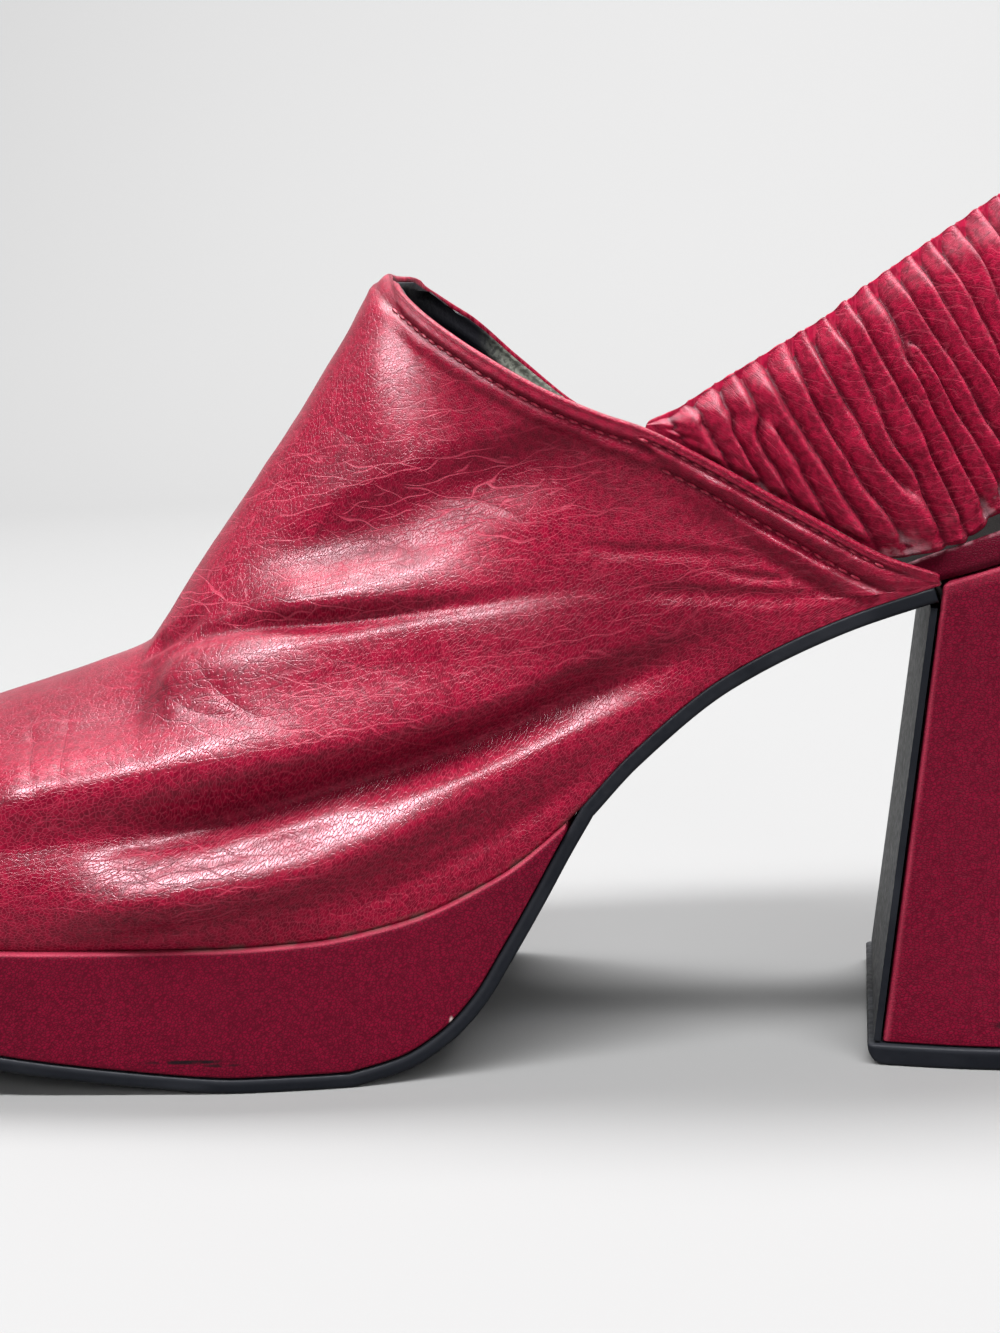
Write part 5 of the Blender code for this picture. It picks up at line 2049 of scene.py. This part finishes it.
@dataclass
class Heel:
    """The covered block heel on its cap, with the cover of its front face."""

    breast_top_x: float = 71.2
    breast_bottom_x: float = 59.8
    straight_share: float = 0.42
    cap_thickness: float = 3.1
    cap_lip: float = 1.7
    cap_roll: float = 2.4
    cap_flare: float = 0.4
    levels: int = 44
    edge_round: float = 0.7
    block_length: float = 45.0

    def outline(self, t: Array, breast: Array | float) -> Array:
        """Half width from the breast at 0 to the back at 1, as a share of the widest.

        Args:
            t: shares of the way back.
            breast: the breast's half width as a share of the widest.

        Returns:
            The shares of the half width.
        """
        swing = np.sin(np.pi / 2 * np.minimum(1.0, t / self.straight_share))
        front = breast + (1.0 - breast) * swing
        back = Last.rounded((t - self.straight_share) / (1.0 - self.straight_share), Last.seat_rounding)
        return np.where(t < self.straight_share, front, back)

    def places(self, long: float) -> Array:
        """Shares of the way back, close together at the front corners and at the back.

        Args:
            long: length from front to back.

        Returns:
            The shares.
        """
        corner = np.array([0.0, 0.08, 0.2, 0.4, 0.7]) / long
        front = np.linspace(1.0 / long, self.straight_share, 26)
        back = 1.0 - gathered(0.0, 1.0 - self.straight_share, 46, 2.2)[-2::-1]
        return np.concatenate((corner, front, back))

    def breast_x(self, z: Array) -> Array:
        """The slanting front face at a height."""
        top_z = Last.feather_z(self.breast_top_x)
        return self.breast_top_x + (self.breast_bottom_x - self.breast_top_x) * (top_z - z) / top_z

    def build_block(self, finish: Leather) -> None:
        """The block itself, its seat following the last.

        Args:
            finish: its leather.
        """
        foot_z = self.cap_thickness + GAP
        seat_z = Last.feather_z(self.breast_top_x)
        edge = self.edge_round
        sharp = 0.3 * edge
        turns = np.linspace(0.0, np.pi / 2, 5)
        tall = seat_z - foot_z
        top = [(edge * (1 - math.sin(a)), edge * (1 - math.cos(a)) / tall) for a in turns]
        wall = [(0.0, s) for s in np.linspace(edge / tall, 1.0 - sharp / tall, self.levels)[1:-1]]
        foot = [(sharp * (1 - math.sin(a)), 1.0 - sharp * (1 - math.cos(a)) / tall) for a in turns[::-1]]
        back_x, half, breast = table_curves(HEEL_ROWS)
        t = self.places(self.block_length)
        inner = []
        for inset, share in top + wall + foot:
            front = self.breast_x(seat_z + (foot_z - seat_z) * share)
            x = front + (back_x(share) - front) * t
            wide = half(share) * self.outline(t, breast(share) / half(share))
            corner = np.maximum(0.0, 1.0 - (x - front) / edge)
            wide = wide - edge * (1.0 - np.sqrt(1.0 - corner**2))
            spot = np.stack((x, -wide), -1)
            way = unit(np.gradient(spot, axis=0))
            normal = np.stack((way[:, 1], -way[:, 0]), -1)
            spot = spot - normal * inset
            spot[:, 1] = np.minimum(spot[:, 1], 0.0)
            spot[-1, 1] = 0.0
            z = Last.feather_z(x) - GAP
            inner.append(np.stack((spot[:, 0], spot[:, 1], z + (foot_z - z) * share), -1))
        inner = np.stack(inner, 1)
        outer = inner[:, ::-1] * np.array([1.0, -1.0, 1.0])
        chords = np.arange(1, 6)[None, :, None] / 6.0
        under = inner[:, -1:] + (outer[:, :1] - inner[:, -1:]) * chords
        over = outer[:, -1:] + (inner[:, :1] - outer[:, -1:]) * chords
        rings = np.concatenate((inner, under, outer, over), axis=1)
        from_top = np.array([s * tall for _, s in top + wall + foot])
        ring_top = np.concatenate((from_top, np.full(5, 99.0), from_top[::-1], np.full(5, 99.0)))
        # painted highlight along the top edge and the front corners, with some wear
        pale = bell(ring_top, 0.35, 0.6)[None] * np.ones((len(t), 1))
        front_edge = bell(t * self.block_length, 0.4, 0.5)[:, None] * np.ones((1, rings.shape[1]))
        ragged = 0.65 + 0.35 * smooth(soft_noise(rings, 4.0, 51), -0.3, 0.5)
        marks = {"rub_and_sheen": 0.35 * np.maximum(pale, front_edge) * ragged}
        piece = ring_loft("heel_cover", rings, marks)
        spots = (
            ((0.30, 0.15, 0.16), 0.40, (79.0, -31.0, 22.0), (1.3, 8.0, 3.4)),
            ((0.012, 0.002, 0.004), 0.9, (78.5, -33.0, 6.6), (2.8, 8.0, 0.9)),
        )
        publish(piece, finish.material(spots), Slot.COVER, "heel")

    def build_cap(self, finish: Rubber) -> None:
        """The cap that the heel stands on.

        Args:
            finish: its rubber.
        """
        wide, breast = HEEL_ROWS[-1, 2], HEEL_ROWS[-1, 3]
        front = self.breast_bottom_x - self.cap_lip
        long = HEEL_ROWS[-1, 1] + self.cap_flare - front
        t = self.places(long)
        x = front + long * t
        half = (wide + self.cap_flare) * self.outline(t, breast / wide)
        half = half - 0.8 * (1.0 - np.sqrt(1.0 - np.maximum(0.0, 1.0 - t * long / 0.8) ** 2))
        roll = np.maximum(0.0, 1.0 - t * long / self.cap_roll)
        low = np.minimum(self.cap_roll * (1.0 - np.sqrt(1.0 - roll**2)), self.cap_thickness - 0.7)
        top = np.full_like(x, self.cap_thickness)
        slab = Slab(
            x, np.zeros_like(x), half, np.stack((x, top), -1), np.stack((x, low), -1),
            top_round=0.35, low_round=0.5, wall_rows=6,
        )
        rings, up = slab.rings()
        marks = {"wear": 0.7 * bell(up, 0.95, 0.25)}
        publish(ring_loft("heel_cap_block", rings, marks), finish.material(), Slot.SOLE, "heel_cap")

    @staticmethod
    def dress_breast(finish: Rubber) -> None:
        """The thin front cover keeps its CAD form and gets the sole's finish.

        Args:
            finish: its rubber.
        """
        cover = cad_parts["breast_cover"]
        cover.material_slots[0].material = finish.material()
        LOG.info("%s: kept from the frame", cover.name)


@dataclass
class Studio:
    """Pale sweep, soft light and the camera of the photograph."""

    camera_place: Colour = (0.060257, -0.392924, 0.115232)
    yaw: float = 8.5
    pitch: float = 8.3
    roll: float = -3.075
    lens: float = 90.0

    def build_floor(self, finish: Paper) -> None:
        """A floor that sweeps up into a backdrop.

        Args:
            finish: its paper.
        """
        turn = np.linspace(0.0, np.pi / 2, 25)
        bend = [(1.1 + 0.7 * math.sin(a), 0.7 * (1.0 - math.cos(a))) for a in turn]
        profile = [(-2.5, 0.0), (-1.0, 0.0), (0.0, 0.0), (0.6, 0.0)] + bend + [(1.8, 2.2)]
        points = [(x, y, z) for y, z in profile for x in (-3.0, 3.0)]
        faces = [(2 * k, 2 * k + 1, 2 * k + 3, 2 * k + 2) for k in range(len(profile) - 1)]
        mesh = bpy.data.meshes.new("studio_floor")
        mesh.from_pydata(points, [], faces)
        mesh.shade_smooth()
        mesh.materials.append(finish.material())
        floor = new_object("studio_floor", mesh)

    @staticmethod
    def lamp(
        name: str, place: Colour, aim: Colour, size: tuple[float, float], power: float, mirrored: bool = True
    ) -> None:
        """One soft rectangular light.

        Args:
            name: its name.
            place: where it hangs.
            aim: what it points at.
            size: its width and height.
            power: its strength in watts.
            mirrored: it shows in glossy surfaces.
        """
        data = bpy.data.lights.new(name, "AREA")
        data.shape = "RECTANGLE"
        data.size, data.size_y = size
        data.energy = power
        lamp = new_object(name, data)
        lamp.location = place
        lamp.rotation_euler = (Vector(aim) - Vector(place)).to_track_quat("-Z", "Y").to_euler()
        lamp.visible_glossy = mirrored

    def build_light(self) -> None:
        """A large soft light overhead, a weak fill and a pale room."""
        self.lamp("key_light", (0.0, -0.45, 0.95), (0.0, 0.0, 0.05), (1.50, 0.16), 40.0)
        self.lamp("fill_light", (0.45, -1.35, 0.55), (0.0, 0.0, 0.05), (0.9, 0.7), 20.0, False)
        self.lamp("back_light", (0.1, 0.6, 1.9), (0.0, 1.6, 0.6), (2.0, 1.0), 205.0)
        world = bpy.data.worlds.new("studio_room")
        world.use_nodes = True
        world.node_tree.nodes["Background"].inputs["Color"].default_value = (1.0, 1.0, 1.0, 1.0)
        world.node_tree.nodes["Background"].inputs["Strength"].default_value = 0.095
        bpy.context.scene.world = world
        bpy.context.scene.view_settings.view_transform = "Standard"

    def build_camera(self) -> None:
        """The camera at the photograph's angle."""
        yaw, pitch, roll = (math.radians(a) for a in (self.yaw, self.pitch, self.roll))
        level = math.cos(pitch)
        forward = Vector((-math.sin(yaw) * level, math.cos(yaw) * level, -math.sin(pitch)))
        right = Vector((math.cos(yaw), math.sin(yaw), 0.0))
        upward = right.cross(forward)
        turned_right = right * math.cos(roll) + upward * math.sin(roll)
        turned_up = upward * math.cos(roll) - right * math.sin(roll)
        data = bpy.data.cameras.new("camera")
        data.sensor_fit = "HORIZONTAL"
        data.sensor_width = 36.0
        data.lens = self.lens
        data.clip_start = 0.01
        camera = new_object("camera", data)
        place = Matrix((turned_right, turned_up, -forward)).transposed().to_4x4()
        place.translation = self.camera_place
        camera.matrix_world = place
        bpy.context.scene.camera = camera


def main() -> None:
    """Builds the shoe's pieces in order, then the studio."""
    logging.basicConfig(level=logging.INFO, format="%(message)s")
    vamp_leather = Leather(
        "vamp_leather", (0.152, 0.0017, 0.0147), (0.030, 0.0005, 0.0034), 0.33, Lie.SKIN, coat=0.2,
        strand_rows=((-9.0, 1.7), (12.0, 2.6), (-28.0, 3.4)), grain=2100.0, border=0.30,
        border_width=0.16, shine=1.0, mottle=0.50,
    )
    # the strap's leather has a lighter base colour than the vamp's: painted light on the strap
    strap_leather = Leather(
        "strap_leather", (0.218, 0.0036, 0.0232), (0.026, 0.0005, 0.0036), 0.55, Lie.SKIN,
        strand_rows=((28.0, 1.5), (14.0, 2.3)), grain=2100.0, border=0.16, border_width=0.16,
        shine=0.7, mottle=0.5,
    )
    cover_leather = Leather(
        "cover_leather", (0.110, 0.0016, 0.0125), (0.030, 0.0005, 0.004), 0.42, shine=0.11,
        border=0.75, mottle=0.3,
    )
    sock_leather = Leather(
        "sock_leather", (0.0125, 0.0105, 0.010), (0.005, 0.0044, 0.0044), 0.80, tint=(1.0, 1.0, 1.0),
        shine=0.05,
    )
    # the footbed's wrapped edge is a darker red than the cover leather: painted shade under the strap
    wrap_leather = Leather(
        "wrap_leather", (0.060, 0.0012, 0.008), (0.025, 0.0006, 0.003), 0.45, shine=0.1, border=0.6,
    )
    rubber = Rubber("sole_rubber")
    lining = Cloth("lining_cloth")
    thread = Thread("sewing_thread")
    Vamp().build(vamp_leather, lining, thread)
    # the strap's lining cloth is near black: painted shade inside the strap
    HeelStrap().build(strap_leather, Cloth("strap_lining_cloth", cloth=(0.012, 0.010, 0.008)))
    sole = Sole()
    sole.build_platform(cover_leather)
    sole.build_outsole(rubber)
    sole.build_footbed(sock_leather, wrap_leather)
    heel = Heel()
    heel.build_block(cover_leather)
    heel.build_cap(rubber)
    heel.dress_breast(rubber)
    studio = Studio()
    studio.build_floor(Paper("studio_paper"))
    studio.build_light()
    studio.build_camera()


if __name__ == "__main__":
    main()
